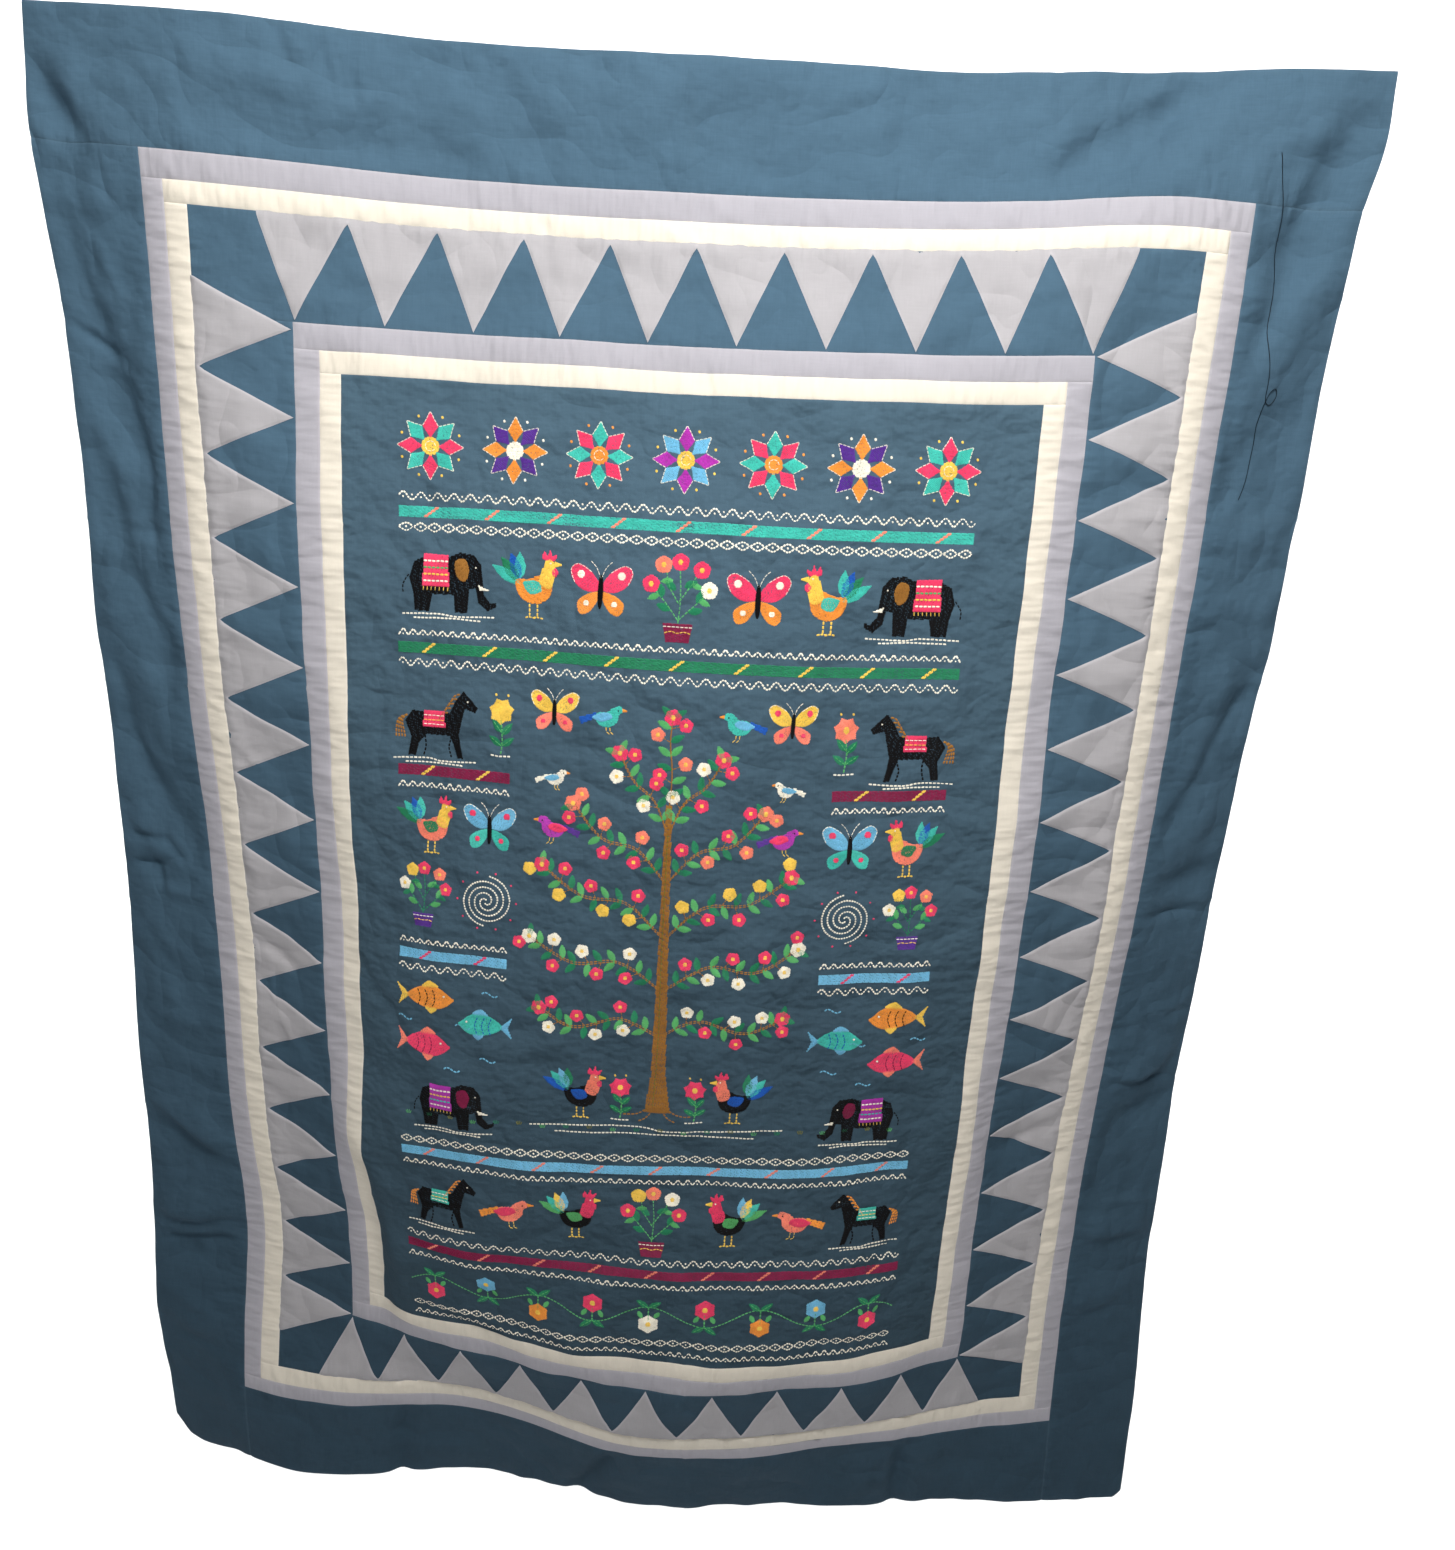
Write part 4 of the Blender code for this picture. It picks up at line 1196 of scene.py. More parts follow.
def small_bird(put, body, wing, tail):
    """A perched bird, seen from the side."""
    outline = [
        (-9, 1), (-5, -5), (3, -6), (9, -1), (10, 4),
        (13, 7), (11, 11), (6, 10), (1, 6), (-6, 5),
    ]
    fill(put, tail, [(-7, 1), (-20, -5), (-22, 0), (-8, 5)], 10)
    patch(put, body, outline, 25)
    patch(put, wing, [(-11, 1), (-4, -2), (4, 1), (3, 5), (-4, 5)], 70, 1)
    fill(put, "orange", [(12.5, 9.5), (17.5, 7.5), (13, 6.5)], 90)
    knot(put, "black", 9.5, 7.5, 1.1, 1)
    for x in (0, 3):
        line(put, "yellow", [(x, -6), (x + 0.5, -11), (x + 3, -12)], width=0.75)


def rooster(put, body, neck, tails):
    """A rooster, seen from the side."""
    for k, colour in enumerate(tails):
        lean = 150 - 19 * k
        leaf(put, colour, -7, 2 + k, lean, 21 - 1.5 * k, 7.5)
    patch(put, body, [(-10, 4), (-7, -6), (2, -10), (11, -6), (13, 3), (7, 8), (-2, 5)], 15, 0.4)
    patch(put, neck, [(5, 3), (12, 0), (15, 8), (14, 16), (10, 18), (7, 12)], 75, 1)
    patch(put, "pink", [(7, 18), (8, 23), (10, 20), (12, 24), (13, 20), (16, 21), (14, 17)], 90, 1)
    fill(put, "pink", oval(15, 10, 1.8, 2.8), 90, 1.4)
    fill(put, "yellow", [(14.5, 17), (20, 15), (14.5, 13)], 90, 1)
    knot(put, "off_white", 12.2, 15.5, 1.1, 2)
    patch(put, tails[0], [(-5, 3), (4, 4), (6, -2), (-1, -4)], 70, 1.2)
    for x in (-1, 4):
        line(put, "yellow", [(x, -10), (x, -18)])
        line(put, "yellow", [(x - 3, -19), (x, -18), (x + 4, -19)])


def elephant(put, body, blanket, stripes, ear):
    """An elephant under a striped blanket, seen from the side."""
    outline = [
        (-21, -19), (-22, -8), (-25, 2), (-22, 12), (-12, 17), (2, 16), (9, 19), (18, 18), (23, 12),
        (24, 3), (25, -7), (29, -12), (33, -11), (33, -14), (27, -17), (21, -12), (19, -3), (15, -4),
        (14, -19), (6, -19), (5, -8), (-9, -8), (-11, -19),
    ]
    fill(put, body, outline, 8)
    curve(put, body, [(-25, 4), (-29, -2), (-29, -8)], width=1.2)
    fill(put, blanket, [(-15, 17.5), (1, 17), (2, -3), (-16, -3)], 90, 1)
    for k, colour in enumerate(stripes):
        y = 13 - 4.2 * k
        line(put, colour, [(-15.4, y), (1.4, y)], 2)
    for k in range(7):
        line(put, "yellow", [(-15 + 2.7 * k, -3), (-15.3 + 2.7 * k, -6)], 1, width=0.7)
    patch(put, ear, [(6, 13), (12, 15), (15, 8), (12, 1), (7, 4)], 75, 1.2)
    fill(put, "off_white", [(21, -1), (29, -4), (22, -4)], 0, 1)
    knot(put, "off_white", 19.5, 10, 1.1, 1)
    ground_line(put, -30, 32, -21)


def horse(put, body, saddle, mane):
    """A small horse, seen from the side."""
    outline = [
        (-20, -20), (-18, -8), (-22, 2), (-17, 9), (-4, 8), (8, 9), (12, 17), (17, 23), (20, 20),
        (27, 13), (25, 10), (18, 12), (16, 4), (14, -5), (17, -20), (13, -20), (8, -6), (-8, -6),
        (-13, -12), (-15, -20),
    ]
    fill(put, body, outline, 12)
    line(put, body, [(9, -6), (7, -13), (9, -20)], width=1.6)
    line(put, body, [(-9, -6), (-8, -13), (-10, -20)], width=1.6)
    for k in range(5):
        x, y = 15 - 2 * k, 21 - 3 * k
        curve(put, mane, [(x, y), (x - 4, y - 1), (x - 6, y - 5)], 1)
    for k in range(4):
        curve(put, mane, [(-20, 6), (-27 + k, 2), (-28 + 2 * k, -9)], 0.5)
    fill(put, saddle, [(-9, 9.5), (4, 9.5), (5, -1), (-10, -1)], 90, 1)
    for y, colour in ((6.5, "off_white"), (3.5, "yellow"), (0.8, "off_white")):
        line(put, colour, [(-9.4, y), (4.4, y)], 2, width=0.8)
    knot(put, "off_white", 20, 16.5, 1.1, 1)
    ground_line(put, -30, 26, -22)


def fish(put, body, fin, bands):
    """A fish with banded sides."""
    fill(put, fin, [(-13, 0), (-22, 8), (-19, 0), (-22, -8)], 90)
    patch(put, body, [(-15, 0), (-6, 7), (6, 8), (15, 2), (17, -1), (8, -7), (-5, -6)], 90)
    patch(put, fin, [(-4, 7), (1, 12), (7, 8)], 70)
    patch(put, fin, [(-2, -6), (2, -11), (6, -7)], 110)
    for x in (-7, -2, 3):
        curve(put, bands, [(x, 6), (x + 2, 0), (x, -6)], 1, width=0.9)
    knot(put, "off_white", 11, 2, 1.5, 1)


def potted_plant(put, pot, blossoms, leaves):
    """A pot with a small flowering bush."""
    fill(put, pot, [(-7, -27), (7, -27), (9, -16), (-9, -16)], 0)
    line(put, "off_white", [(-9, -18), (9, -18)], 1, width=0.8)
    line(put, "yellow", [(-8, -22), (-4, -20.5), (0, -22), (4, -20.5), (8, -22)], 1, width=0.8)
    stems = (
        [(0, -16), (1, 0), (0, 16)],
        [(0, -14), (-7, -5), (-14, 3)],
        [(0, -14), (8, -6), (15, 1)],
        [(0, -4), (-6, 6), (-8, 15)],
        [(0, -3), (6, 6), (10, 13)],
    )
    for stem in stems:
        curve(put, leaves[1], stem, width=1.1)
    lower = ((-5, -8, 160), (6, -9, 15), (-10, -1, 100), (11, -3, 70), (-2, 4, 140), (3, 6, 30))
    for x, y, turn in lower:
        leaf(put, leaves[0], x, y, turn, 9, 5.0)
    for x, y, turn in ((-4, 10, 190), (7, 8, -15), (-12, 1, 205), (12, -1, -25)):
        leaf(put, leaves[1], x, y, turn, 7.5, 4.2)
    for (x, y), colour in zip(((0, 21), (-17, 7), (18, 5), (-10, 19), (13, 17)), blossoms):
        flower(put, colour, x, y, 5.6, 5, turn=18)


def spiral(put, colour, dots, size=20):
    """Two spirals that turn into each other, with knots around."""
    for side in (0, 180):
        at = np.linspace(0.15, 2.6, 40)
        angle = 2 * math.pi * at * 0.86 + math.radians(side)
        reach = size * 0.36 * at
        route = np.stack([reach * np.cos(angle), reach * np.sin(angle)], axis=-1)
        line(put, colour, route, stitch=2.2)
    outside = size + 1.5
    for k in range(10):
        knot(put, dots, outside * math.cos(0.63 * k), outside * math.sin(0.63 * k), 1.4)


def tuft(put, x, y, colour, size=5):
    """A few blades of grass."""
    for lean in (-0.5, -0.2, 0.15, 0.5):
        tip = (x + lean * size, y + size * (1 - 0.5 * abs(lean)))
        line(put, colour, [(x + lean * 2, y), tip], width=0.75)


def fitting(left, right, step):
    """How many repeats of about one step fit in a row."""
    return max(1, round((right - left) / step))


def middles(left, right, count):
    """The middle of each of the equal parts of a row."""
    return [left + (right - left) * (k + 0.5) / count for k in range(count)]


def zigzag_row(left, right, down):
    """A row of zigzags with a knot in each."""
    height = 6.0
    count = fitting(left, right, 8.0)
    xs = np.linspace(left, right, 2 * count + 1)
    ys = -down + height / 2 * np.where(np.arange(2 * count + 1) % 2, 1, -1)
    line(ON_PANEL, "off_white", np.stack([xs, ys], axis=-1), stitch=height * 0.62)
    for x in xs[1:-1:2]:
        knot(ON_PANEL, "off_white", x, -down - height * 0.28, 1.1)


def diamond_row(left, right, down):
    """A row of small diamonds joined at their points."""
    height = 7.0
    count = fitting(left, right, 11.0)
    half = (right - left) / count / 2
    for k in range(count):
        x = left + half * (2 * k + 1)
        side = [(x - half, -down), (x, -down + height / 2), (x + half, -down)]
        line(ON_PANEL, "off_white", [*side, (x, -down - height / 2), side[0]], stitch=2.4)
        knot(ON_PANEL, "off_white", x, -down, 1.5)


def wave_row(left, right, down):
    """A running scroll, with a knot in each turn."""
    height = 6.5
    count = fitting(left, right, 13.0)
    xs = np.linspace(left, right, 16 * count + 1)
    turn = 2 * math.pi * count * (xs - left) / (right - left)
    route = np.stack([xs, -down + height / 2 * np.sin(turn)], axis=-1)
    line(ON_PANEL, "off_white", route, stitch=2.4)
    for k, x in enumerate(middles(left, right, 2 * count)):
        knot(ON_PANEL, "off_white", x, -down - height * 0.12 * (1 if k % 2 == 0 else -1), 1.3)


def ribbon(colour, bars):
    """A row with a solid ribbon of stitches, and slanting bars across it."""

    def ribbon_row(left, right, down):
        top, bottom = -down + 4, -down - 4
        fill(ON_PANEL, colour, [(left, bottom), (right, bottom), (right, top), (left, top)], 0)
        for x in middles(left, right, fitting(left, right, 46)):
            for shift in (0, 1.4):
                line(ON_PANEL, bars, [(x - 5 + shift, bottom), (x + 5 + shift, top)], 1)

    return ribbon_row


def sprig(put, blossom):
    """One large flower on a stem with leaves."""
    curve(put, "grass_green", [(0, -22), (1.5, -8), (0, 6)])
    for x, y, lean in ((0.8, -15, 35), (0.8, -15, 145), (1.2, -6, 50), (1.0, -4, 130)):
        leaf(put, "leaf_green", x, y, lean, 13, 6.5, vein="grass_green")
    flower(put, blossom, 0, 13, 10.5, 7, turn=12)
    for lean in (70, 110):
        c, s = turned(lean)
        knot(put, "yellow", 15 * c, 10 + 17 * s, 1.8)
    line(put, "off_white", [(-9, -23), (-2, -23.6), (9, -22.8)])


def pattern_rows(left, right, down, kinds):
    """Narrow rows of stitched pattern, one under another. Sizes are in millimetres."""
    for k, row in enumerate(kinds):
        row(left, right, down + 11.5 * k)


def branch(put, points, leaf_colours, blossoms):
    """A bough with leaves on both sides and blossoms or fruit at intervals."""
    route = smooth(points, parts=10)
    for shift in (-0.7, 0.7):
        line(put, "brown", route + [0, shift], width=1.1)
    run = np.concatenate([[0], np.cumsum(np.hypot(*np.diff(route, axis=0).T))])
    for k, mark in enumerate(np.arange(8, run[-1] + 2, 9.0)):
        x, y = np.interp(mark, run, route[:, 0]), np.interp(mark, run, route[:, 1])
        near = min(mark + 1.5, run[-1])
        dx = np.interp(near, run, route[:, 0]) - np.interp(near - 3, run, route[:, 0])
        dy = np.interp(near, run, route[:, 1]) - np.interp(near - 3, run, route[:, 1])
        heading = math.degrees(math.atan2(dy, dx))
        for side in (1, -1):
            lean = heading + side * (52 + 9 * ((k * 7) % 3))
            if (k + (side > 0)) % 3 == 2:
                c, s = turned(lean)
                line(put, "brown", [(x, y), (x + 6.5 * c, y + 6.5 * s)], width=0.9)
                flower(put, blossoms[k % len(blossoms)], x + 9.5 * c, y + 9.5 * s, 5.0, 5, turn=lean)
            else:
                leaf(put, leaf_colours[k % len(leaf_colours)], x, y, lean, 10.5, 5.2)
    flower(put, blossoms[-1], route[-1, 0], route[-1, 1], 6.0, 6, turn=15)


def tree_of_life(put):
    """A tall tree with paired boughs, in blossom."""
    trunk = [
        (-9, -150), (-5, -120), (-4, -60), (-3, 0), (-2, 80),
        (2, 80), (3, 0), (4, -60), (5, -120), (9, -150),
    ]
    fill(put, "brown", trunk, 86)
    curve(put, "olive", [(-3, -145), (-1, -90), (-1, -20), (0, 60)], 1, width=0.8)
    for side in (1, -1):
        curve(put, "brown", [(side * 6, -146), (side * 14, -152), (side * 24, -153)], width=1.6)
        curve(put, "brown", [(side * 3, -148), (side * 8, -155), (side * 13, -158)], width=1.4)
        boughs = (
            ([(3, -88), (28, -76), (58, -84), (84, -72)], ("pink", "off_white", "pink")),
            ([(3, -52), (30, -34), (62, -36), (92, -20)], ("orange", "pink", "off_white")),
            ([(3, -12), (26, 10), (56, 12), (84, 32)], ("pink", "yellow", "pink")),
            ([(2, 28), (20, 48), (44, 54), (64, 76)], ("off_white", "pink", "salmon")),
            ([(1, 62), (10, 82), (24, 94), (34, 112)], ("pink", "off_white", "pink")),
        )
        for k, (points, blossoms) in enumerate(boughs):
            greens = ("leaf_green", "grass_green") if k % 2 else ("grass_green", "leaf_green")
            branch(put, [(side * x, y) for x, y in points], greens, blossoms)
    crown = [(0, 78), (1, 100), (-1, 122), (0, 138)]
    branch(put, crown, ("leaf_green", "grass_green"), ("salmon", "pink"))


def vine(left, right, down, blossoms):
    """A long wavy stem with leaves and flowers in its bends."""
    count = len(blossoms)
    xs = np.linspace(left, right, 14 * count + 1)
    turn = math.pi * count * (xs - left) / (right - left)
    line(ON_PANEL, "grass_green", np.stack([xs, -down + 9 * np.sin(turn)], axis=-1), width=1.2)
    for k, (colour, x) in enumerate(zip(blossoms, middles(left, right, count))):
        way = 1 if k % 2 == 0 else -1
        line(ON_PANEL, "grass_green", [(x, -down + 9 * way), (x, -down - 5 * way)])
        flower(ON_PANEL, colour, x, -down - 9 * way, 9.5, 6, turn=30)
        for lean in (35, 145):
            leaf(ON_PANEL, "leaf_green", x, -down + 8 * way, way * lean, 13, 6, vein="grass_green")
        leaf(ON_PANEL, "grass_green", x - 9, -down + 4 * way, -way * 60, 8, 4.5)
        leaf(ON_PANEL, "grass_green", x + 9, -down + 4 * way, -way * 120, 8, 4.5)


# Where each motif lies on the panel: across and down in metres
STAR_ROW = 0.282
STAR_COLOURS = (
    ("pink", "turquoise", "yellow"),
    ("orange", "violet", "off_white"),
    ("turquoise", "pink", "orange"),
    ("magenta", "light_blue", "yellow"),
    ("turquoise", "pink", "orange"),
    ("orange", "violet", "off_white"),
    ("pink", "turquoise", "yellow"),
)
STAR_STEP = 0.0640
ROW_LEFT = -216
ROW_RIGHT = 216
TREE_PLACE = 0.630
TREE_SIZE = 1.15


def stitch_star_row():
    """Stars side by side under the panel's top edge."""
    for k, colours in enumerate(STAR_COLOURS):
        star(place_motif((k - 3) * STAR_STEP, STAR_ROW), colours)


# Animals beside a plant: the motif, its place across, its size and its colours
BLANKET_STRIPES = ("off_white", "grass_green", "yellow", "off_white")
BRIGHT_TAIL = ("turquoise", "leaf_green", "royal_blue", "turquoise")
GREEN_TAIL = ("grass_green", "turquoise", "yellow", "light_blue")
UPPER_ANIMALS = (
    (elephant, 0.178, 1.18, ("black", "pink", BLANKET_STRIPES, "brown")),
    (rooster, 0.112, 1.20, ("orange", "yellow", BRIGHT_TAIL)),
    (butterfly, 0.058, 1.18, ("pink", "orange", "off_white")),
)
LOWER_ANIMALS = (
    (horse, 0.180, 1.15, ("black", "turquoise", "orange")),
    (small_bird, 0.120, 1.20, ("salmon", "pink", "orange")),
    (rooster, 0.066, 1.15, ("black", "pink", GREEN_TAIL)),
)
RIPPLES = ((0.212, 0.737), (0.138, 0.708), (0.138, 0.764), (0.168, 0.776), (0.160, 0.738))
VINE_BLOSSOMS = (
    "pink", "light_blue", "orange", "pink", "off_white", "pink", "orange", "light_blue", "pink",
)
GRASS = ("grass_green", "leaf_green", "olive")


def on_side(side, across, down, size, away=False):
    """The place of a motif on the left or, mirrored, on the right of the panel's middle."""
    return place_motif(side * across, down, size, mirror=(side > 0) != away)


def stitch_animal_row(down, pot_blossoms, animals):
    """Animals on both sides of a plant, mirrored about the middle of the panel."""
    potted_plant(place_motif(0, down, 1.22), "maroon", pot_blossoms, ("leaf_green", "grass_green"))
    for side in (-1, 1):
        for motif, across, size, colours in animals:
            motif(on_side(side, across, down, size), *colours)


def stitch_side_column(side):
    """Motifs beside the tree, in cells with pattern rows between them."""
    inner, outer = sorted((side * 124, side * 216))
    horse(on_side(side, 0.184, 0.492, 1.22), "black", "pink", "brown")
    sprig(place_motif(side * 0.132, 0.489, 0.95), "salmon" if side > 0 else "yellow")
    pattern_rows(inner, outer, 528, (ribbon("maroon", "yellow"), zigzag_row))
    tails = ("leaf_green", "turquoise", "royal_blue", "turquoise")
    rooster(on_side(side, 0.190, 0.573, 1.10), "salmon", "yellow", tails)
    butterfly(place_motif(side * 0.140, 0.570, 1.10), "light_blue", "turquoise", "pink")
    blossoms = ("pink", "off_white", "pink", "yellow", "salmon")
    potted_plant(place_motif(side * 0.194, 0.628), "violet", blossoms, ("grass_green", "leaf_green"))
    spiral(on_side(side, 0.141, 0.628, 1.12), "off_white", "pink")
    pattern_rows(inner, outer, 668, (zigzag_row, ribbon("light_blue", "pink"), wave_row))
    fish(on_side(side, 0.190, 0.716, 1.25), "orange", "yellow", "black")
    fish(on_side(side, 0.144, 0.735, 1.15, away=True), "turquoise", "light_blue", "royal_blue")
    fish(on_side(side, 0.192, 0.757, 1.25), "pink", "salmon", "maroon")
    for across, down in RIPPLES:
        ripple = place_motif(side * across, down)
        curve(ripple, "light_blue", [(-7, 0), (-3.5, 2), (0, 0), (3.5, -2), (7, 0)])
    stripes = ("off_white", "yellow", "turquoise", "off_white")
    elephant(on_side(side, 0.170, 0.810, 1.12), "black", "magenta", stripes, "maroon")


def stitch_tree():
    """The tree in the middle of the panel, with birds in it and animals under it."""
    tree_of_life(place_motif(0, TREE_PLACE, TREE_SIZE))
    tails = ("royal_blue", "turquoise", "light_blue", "leaf_green")
    for side in (-1, 1):
        small_bird(on_side(side, 0.050, 0.476, 0.95), "turquoise", "light_blue", "royal_blue")
        small_bird(on_side(side, 0.088, 0.565, 0.95, away=True), "magenta", "pink", "violet")
        rooster(on_side(side, 0.064, 0.790, 1.15), "black", "salmon", tails)
        butterfly(place_motif(side * 0.090, 0.474, 0.95), "yellow", "salmon", "pink")
        sprig(place_motif(side * 0.030, 0.792, 0.85), "pink")
        small_bird(on_side(side, 0.088, 0.525, 0.7), "off_white", "light_blue", "off_white")
    ground_line(place_motif(0, 0.819, 2.6), -40, 40, 0)


def stitch_all():
    """The whole embroidery of the centre panel."""
    stitch_star_row()
    pattern_rows(ROW_LEFT, ROW_RIGHT, 319, (wave_row, ribbon("turquoise", "salmon"), diamond_row))
    stitch_animal_row(0.382, ("pink", "pink", "off_white", "salmon", "pink"), UPPER_ANIMALS)
    pattern_rows(ROW_LEFT, ROW_RIGHT, 421, (zigzag_row, ribbon("leaf_green", "yellow"), wave_row))
    stitch_tree()
    for side in (-1, 1):
        stitch_side_column(side)
    pattern_rows(ROW_LEFT, ROW_RIGHT, 848, (diamond_row, ribbon("light_blue", "salmon"), zigzag_row))
    stitch_animal_row(0.908, ("salmon", "pink", "pink", "yellow", "off_white"), LOWER_ANIMALS)
    pattern_rows(ROW_LEFT, ROW_RIGHT, 947, (wave_row, ribbon("maroon", "salmon"), zigzag_row))
    vine(ROW_LEFT, ROW_RIGHT, 1001, VINE_BLOSSOMS)
    pattern_rows(ROW_LEFT, ROW_RIGHT, 1030, (diamond_row, zigzag_row))
    for k in range(22):
        tuft(ON_PANEL, ROW_LEFT + 8 + 19.2 * k, -824 + k % 3, GRASS[k % 3])


def stitch_bodies(rows):
    """Corners and faces of a rounded body for each stitch."""
    start, end = rows[:, 0:2], rows[:, 2:4]
    width, rise = rows[:, 4:5], rows[:, 5:6]
    ahead = end - start
    ahead = ahead / np.maximum(np.hypot(*ahead.T), 1e-6)[:, None]
    aside = np.stack([-ahead[:, 1], ahead[:, 0]], axis=-1) * width / 2
    near, far = start * 0.84 + end * 0.16, start * 0.16 + end * 0.84
    corners = [start, near + aside, near, near - aside, far + aside, far, far - aside, end]
    flat = np.stack(corners, axis=1) / 1000
    level = np.repeat(PANEL_LIFT + rise, 8, axis=1)
    level += np.array([-0.02, 0.0, 1.0, 0.0, 0.0, 1.0, 0.0, -0.02])[None, :] * STITCH_HEIGHT
    places = hang(flat[..., 0], flat[..., 1], level / 1000)
    pattern = np.array(
        [(0, 1, 2), (0, 2, 3), (1, 4, 5), (1, 5, 2), (2, 5, 6), (2, 6, 3), (4, 7, 5), (5, 7, 6),
         (0, 3, 1), (1, 3, 6), (1, 6, 4), (4, 6, 7)]
    )
    faces = (pattern[None] + 8 * np.arange(len(rows))[:, None, None]).reshape(-1, 3)
    return places.reshape(-1, 3), faces


def thread_material(name, colour):
    """Twisted cotton thread: soft sheen, and a little uneven in colour from stitch to stitch."""
    material, tree, shader = new_material(name + "_thread")
    where = ("Vector", add_node(tree, "ShaderNodeTexCoord").outputs["Object"])
    inputs = [where, ("Scale", 900.0), ("Detail", 2.0), ("Roughness", 0.7)]
    grain = add_node(tree, "ShaderNodeTexNoise", inputs)
    patches = add_node(tree, "ShaderNodeTexNoise", [where, ("Scale", 120.0), ("Detail", 1.0)])
    tone = math_node(tree, "MULTIPLY_ADD", grain.outputs["Fac"], 0.55, 0.45)
    tone = math_node(tree, "MULTIPLY_ADD", patches.outputs["Fac"], 0.5, tone)
    shade = add_node(tree, "ShaderNodeVectorMath", [(0, colour), (1, tone)], operation="MULTIPLY")
    tree.links.new(shade.outputs[0], shader.inputs["Base Color"])
    bright = max(colour)
    sheen = min(0.12, 0.02 + 0.25 * bright)
    specular = 0.10 + 0.20 * min(1, bright)
    finish(shader, roughness=0.60, sheen=sheen, sheen_roughness=0.4, specular=specular)
    return material


def sew_threads():
    """One joined mesh for each colour of thread."""
    stitch_all()
    made = []
    for colour, groups in stitches.items():
        if groups:
            places, faces = stitch_bodies(np.concatenate(groups))
            material = thread_material(colour, THREADS[colour])
            made.append(make_mesh(f"embroidery_{colour}", places, faces.tolist(), material))
    return made


LOOSE_THREAD = (
    (0.416, 0.056), (0.421, 0.072), (0.428, 0.097), (0.432, 0.129), (0.431, 0.160), (0.431, 0.176),
    (0.435, 0.200), (0.437, 0.222), (0.444, 0.227), (0.449, 0.221), (0.445, 0.215), (0.439, 0.221),
    (0.436, 0.240), (0.437, 0.258), (0.434, 0.285), (0.430, 0.298),
)
LOOSE_THREAD_RADIUS = 0.0003
LOOSE_THREAD_LIFT = 0.0007
LOOSE_THREAD_SIDES = 5
LOOSE_THREAD_COLOUR = (0.010, 0.017, 0.026)


def loose_thread():
    """A loose end of sewing thread on the right border."""
    sides = LOOSE_THREAD_SIDES
    route = smooth(LOOSE_THREAD, parts=8)
    middle = hang(route[:, 0], route[:, 1], np.full(len(route), LOOSE_THREAD_LIFT))
    out = read_table(FACING, route[:, 0], route[:, 1])
    ahead = np.gradient(middle, axis=0)
    aside = np.cross(out, ahead / np.linalg.norm(ahead, axis=-1, keepdims=True))
    around = np.linspace(0, 2 * math.pi, sides, endpoint=False)[None, :, None]
    ring = np.cos(around) * aside[:, None] + np.sin(around) * out[:, None]
    taper = np.ones(len(route))
    taper[[0, -1]] = 0.3
    places = middle[:, None] + LOOSE_THREAD_RADIUS * taper[:, None, None] * ring
    points = np.arange(sides * len(route)).reshape(-1, sides)
    ahead_points = np.roll(points, -1, axis=1)
    walls = np.stack([points[:-1], ahead_points[:-1], ahead_points[1:], points[1:]], axis=-1)
    faces = [*walls.reshape(-1, 4).tolist(), points[0, ::-1].tolist(), points[-1].tolist()]
    return make_mesh("loose_thread", places, faces, thread_material("loose", LOOSE_THREAD_COLOUR))


embroidery = sew_threads()
lying_on = {"centre_panel_cloth": embroidery, "border_right_cloth": [loose_thread()]}

# Camera, light and floor

CAMERA_PLACE = Vector((0.036, -1.013, -0.220))
CAMERA_PITCH = math.radians(16.65)
CAMERA_YAW = math.radians(0.39)
CAMERA_ROLL = math.radians(3.13)
FOCAL_PIXELS = 1300
LONG_SIDE_PIXELS = 1550
SENSOR = 36

forward = Vector(
    (
        math.sin(CAMERA_YAW) * math.cos(CAMERA_PITCH),
        math.cos(CAMERA_YAW) * math.cos(CAMERA_PITCH),
        -math.sin(CAMERA_PITCH),
    )
)
level = Vector((math.cos(CAMERA_YAW), -math.sin(CAMERA_YAW), 0))
upright = level.cross(forward)
camera_right = math.cos(CAMERA_ROLL) * level + math.sin(CAMERA_ROLL) * upright
camera_up = math.cos(CAMERA_ROLL) * upright - math.sin(CAMERA_ROLL) * level
camera = bpy.data.objects.new("camera", bpy.data.cameras.new("camera"))
bpy.context.scene.collection.objects.link(camera)
camera.data.sensor_width = SENSOR
camera.data.lens = SENSOR * FOCAL_PIXELS / LONG_SIDE_PIXELS
camera_turn = Matrix((camera_right, camera_up, -forward)).transposed().to_4x4()
camera.matrix_world = Matrix.Translation(CAMERA_PLACE) @ camera_turn
bpy.context.scene.camera = camera


def area_light(name, place, target, size, energy, colour):
    """A soft light, of a width and a height, that faces a target."""
    data = bpy.data.lights.new(name, "AREA")
    data.shape = "RECTANGLE"
    data.size, data.size_y = size
    data.energy = energy
    data.color = colour
    lamp = bpy.data.objects.new(name, data)
    bpy.context.scene.collection.objects.link(lamp)
    lamp.location = place
    lamp.rotation_mode = "QUATERNION"
    lamp.rotation_quaternion = (Vector(target) - Vector(place)).to_track_quat("-Z", "Y")


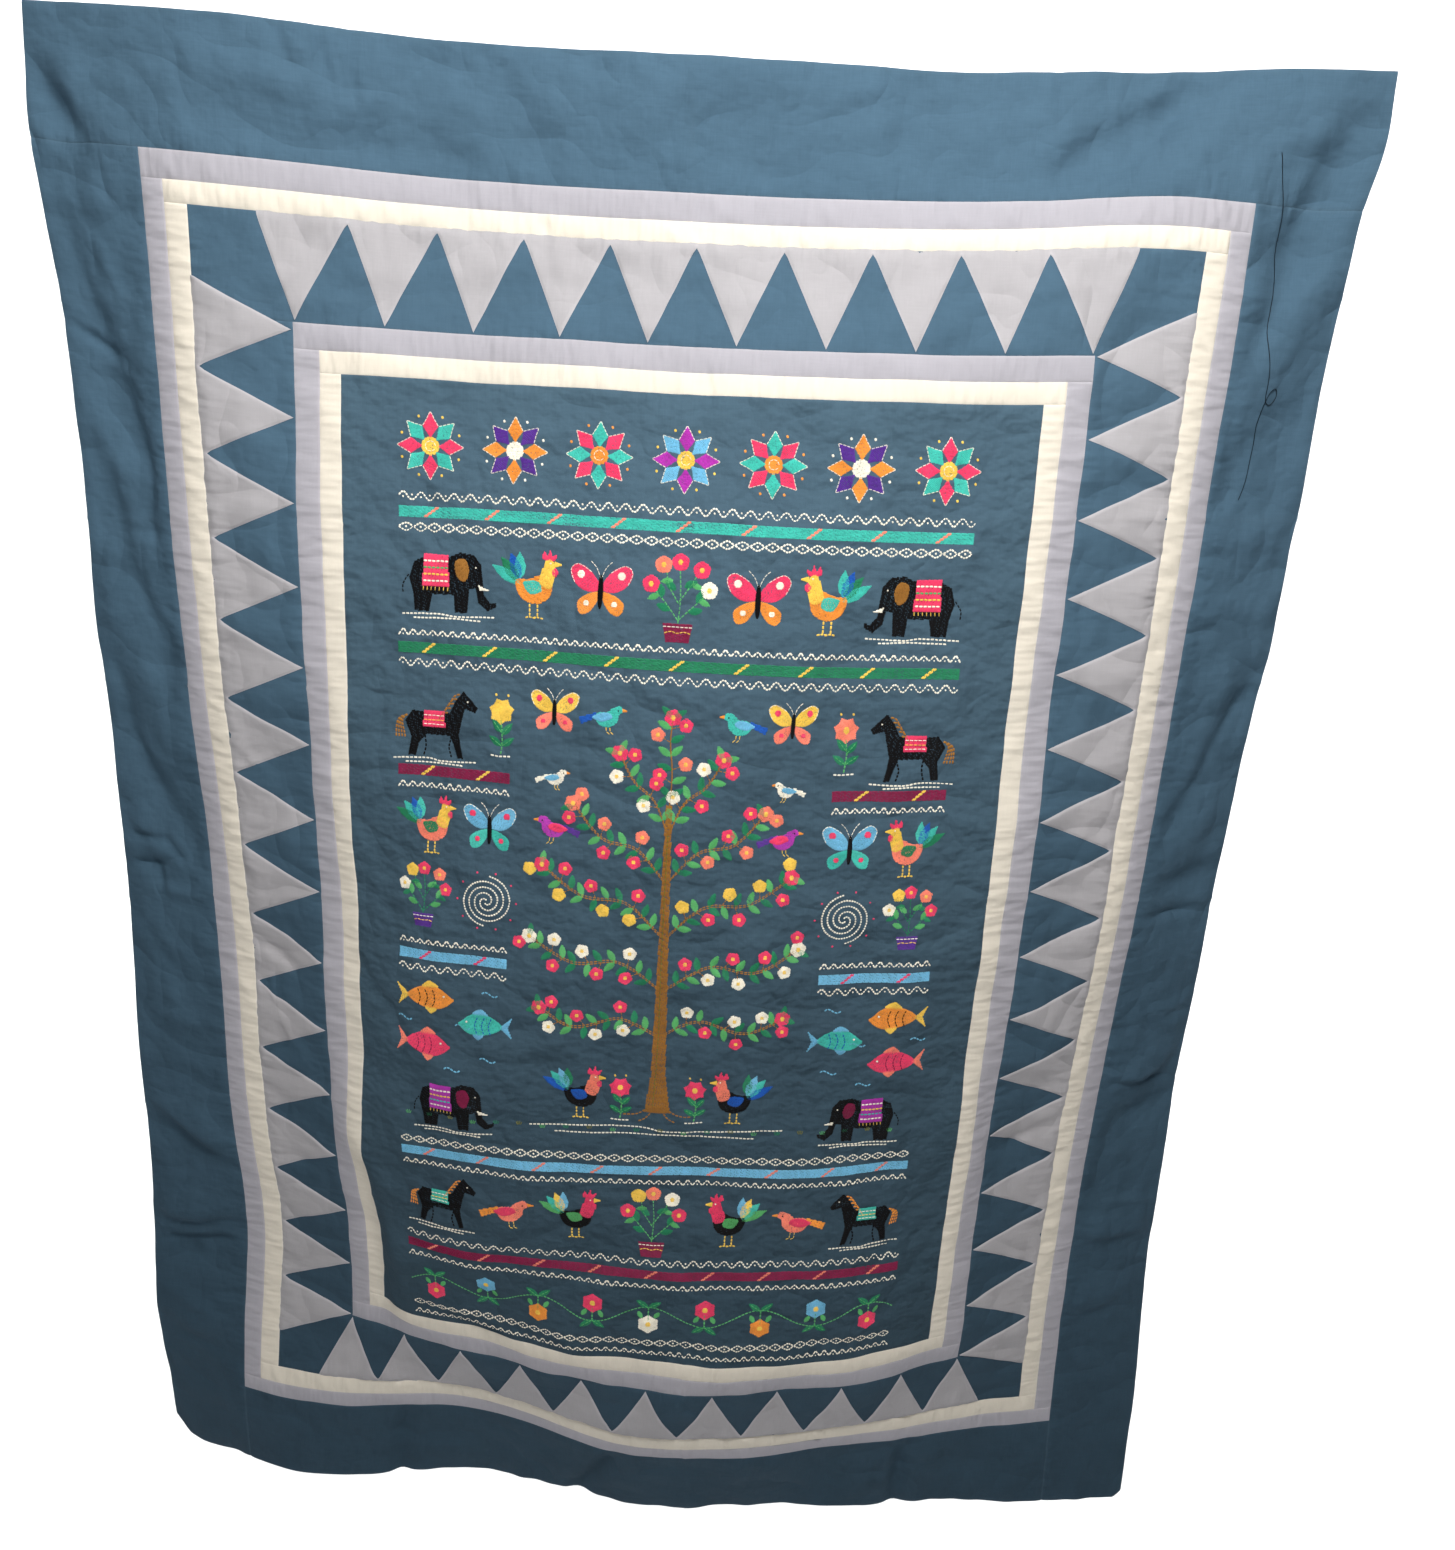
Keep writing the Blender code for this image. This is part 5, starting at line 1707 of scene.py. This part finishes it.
# Each light's place, target, size, energy and colour
LIGHTS = {
    "key": ((0.12, -1.0, 0.60), (0.05, 0.0, -0.30), (0.8, 0.30), 29, (1.0, 0.975, 0.94)),
    "fill": ((-1.5, -1.6, -0.2), (0.0, 0.0, -0.6), (1.2, 1.2), 3, (1, 1, 1)),
    "rear": ((0.0, 1.7, 2.3), (0.0, 4.6, -0.7), (8.0, 2.5), 480, (1, 1, 1)),
}
for light_name, light in LIGHTS.items():
    area_light(light_name, *light)

# The floor, which sweeps up into a backdrop: distance behind the cloth, and height
FLOOR_HEIGHT = -1.75
SWEEP_START = 3.2
SWEEP_RADIUS = 1.4
SWEEP_STEPS = 12
STAGE_HALF_WIDTH = 9
STAGE_FRONT = -6.0
BACKDROP_TOP = 5.0
FLOOR_COLOUR = (0.88, 0.88, 0.88, 1)
FLOOR_ROUGHNESS = 0.9
profile = [(STAGE_FRONT, FLOOR_HEIGHT), (SWEEP_START, FLOOR_HEIGHT)]
for step in range(1, SWEEP_STEPS + 1):
    turn = math.radians(90 * step / SWEEP_STEPS)
    behind = SWEEP_START + SWEEP_RADIUS * math.sin(turn)
    profile.append((behind, FLOOR_HEIGHT + SWEEP_RADIUS * (1 - math.cos(turn))))
profile.append((SWEEP_START + SWEEP_RADIUS, BACKDROP_TOP))
floor_places = [(x, y, z) for x in (-STAGE_HALF_WIDTH, STAGE_HALF_WIDTH) for y, z in profile]
count = len(profile)
floor_faces = [(k, k + count, k + count + 1, k + 1) for k in range(count - 1)]
floor_mesh = bpy.data.meshes.new("floor")
floor_mesh.from_pydata(floor_places, [], floor_faces)
floor_mesh.shade_smooth()
floor = bpy.data.objects.new("floor", floor_mesh)
bpy.context.scene.collection.objects.link(floor)
floor_material, _, floor_shader = new_material("pale_floor")
floor_shader.inputs["Base Color"].default_value = FLOOR_COLOUR
floor_shader.inputs["Roughness"].default_value = FLOOR_ROUGHNESS
floor_mesh.materials.append(floor_material)

WORLD_STRENGTH = 0.06
world = bpy.data.worlds.new("studio")
world.use_nodes = True
bpy.context.scene.world = world
background = world.node_tree.nodes["Background"]
background.inputs["Color"].default_value = (1, 1, 1, 1)
background.inputs["Strength"].default_value = WORLD_STRENGTH
bpy.context.scene.view_settings.view_transform = "Standard"
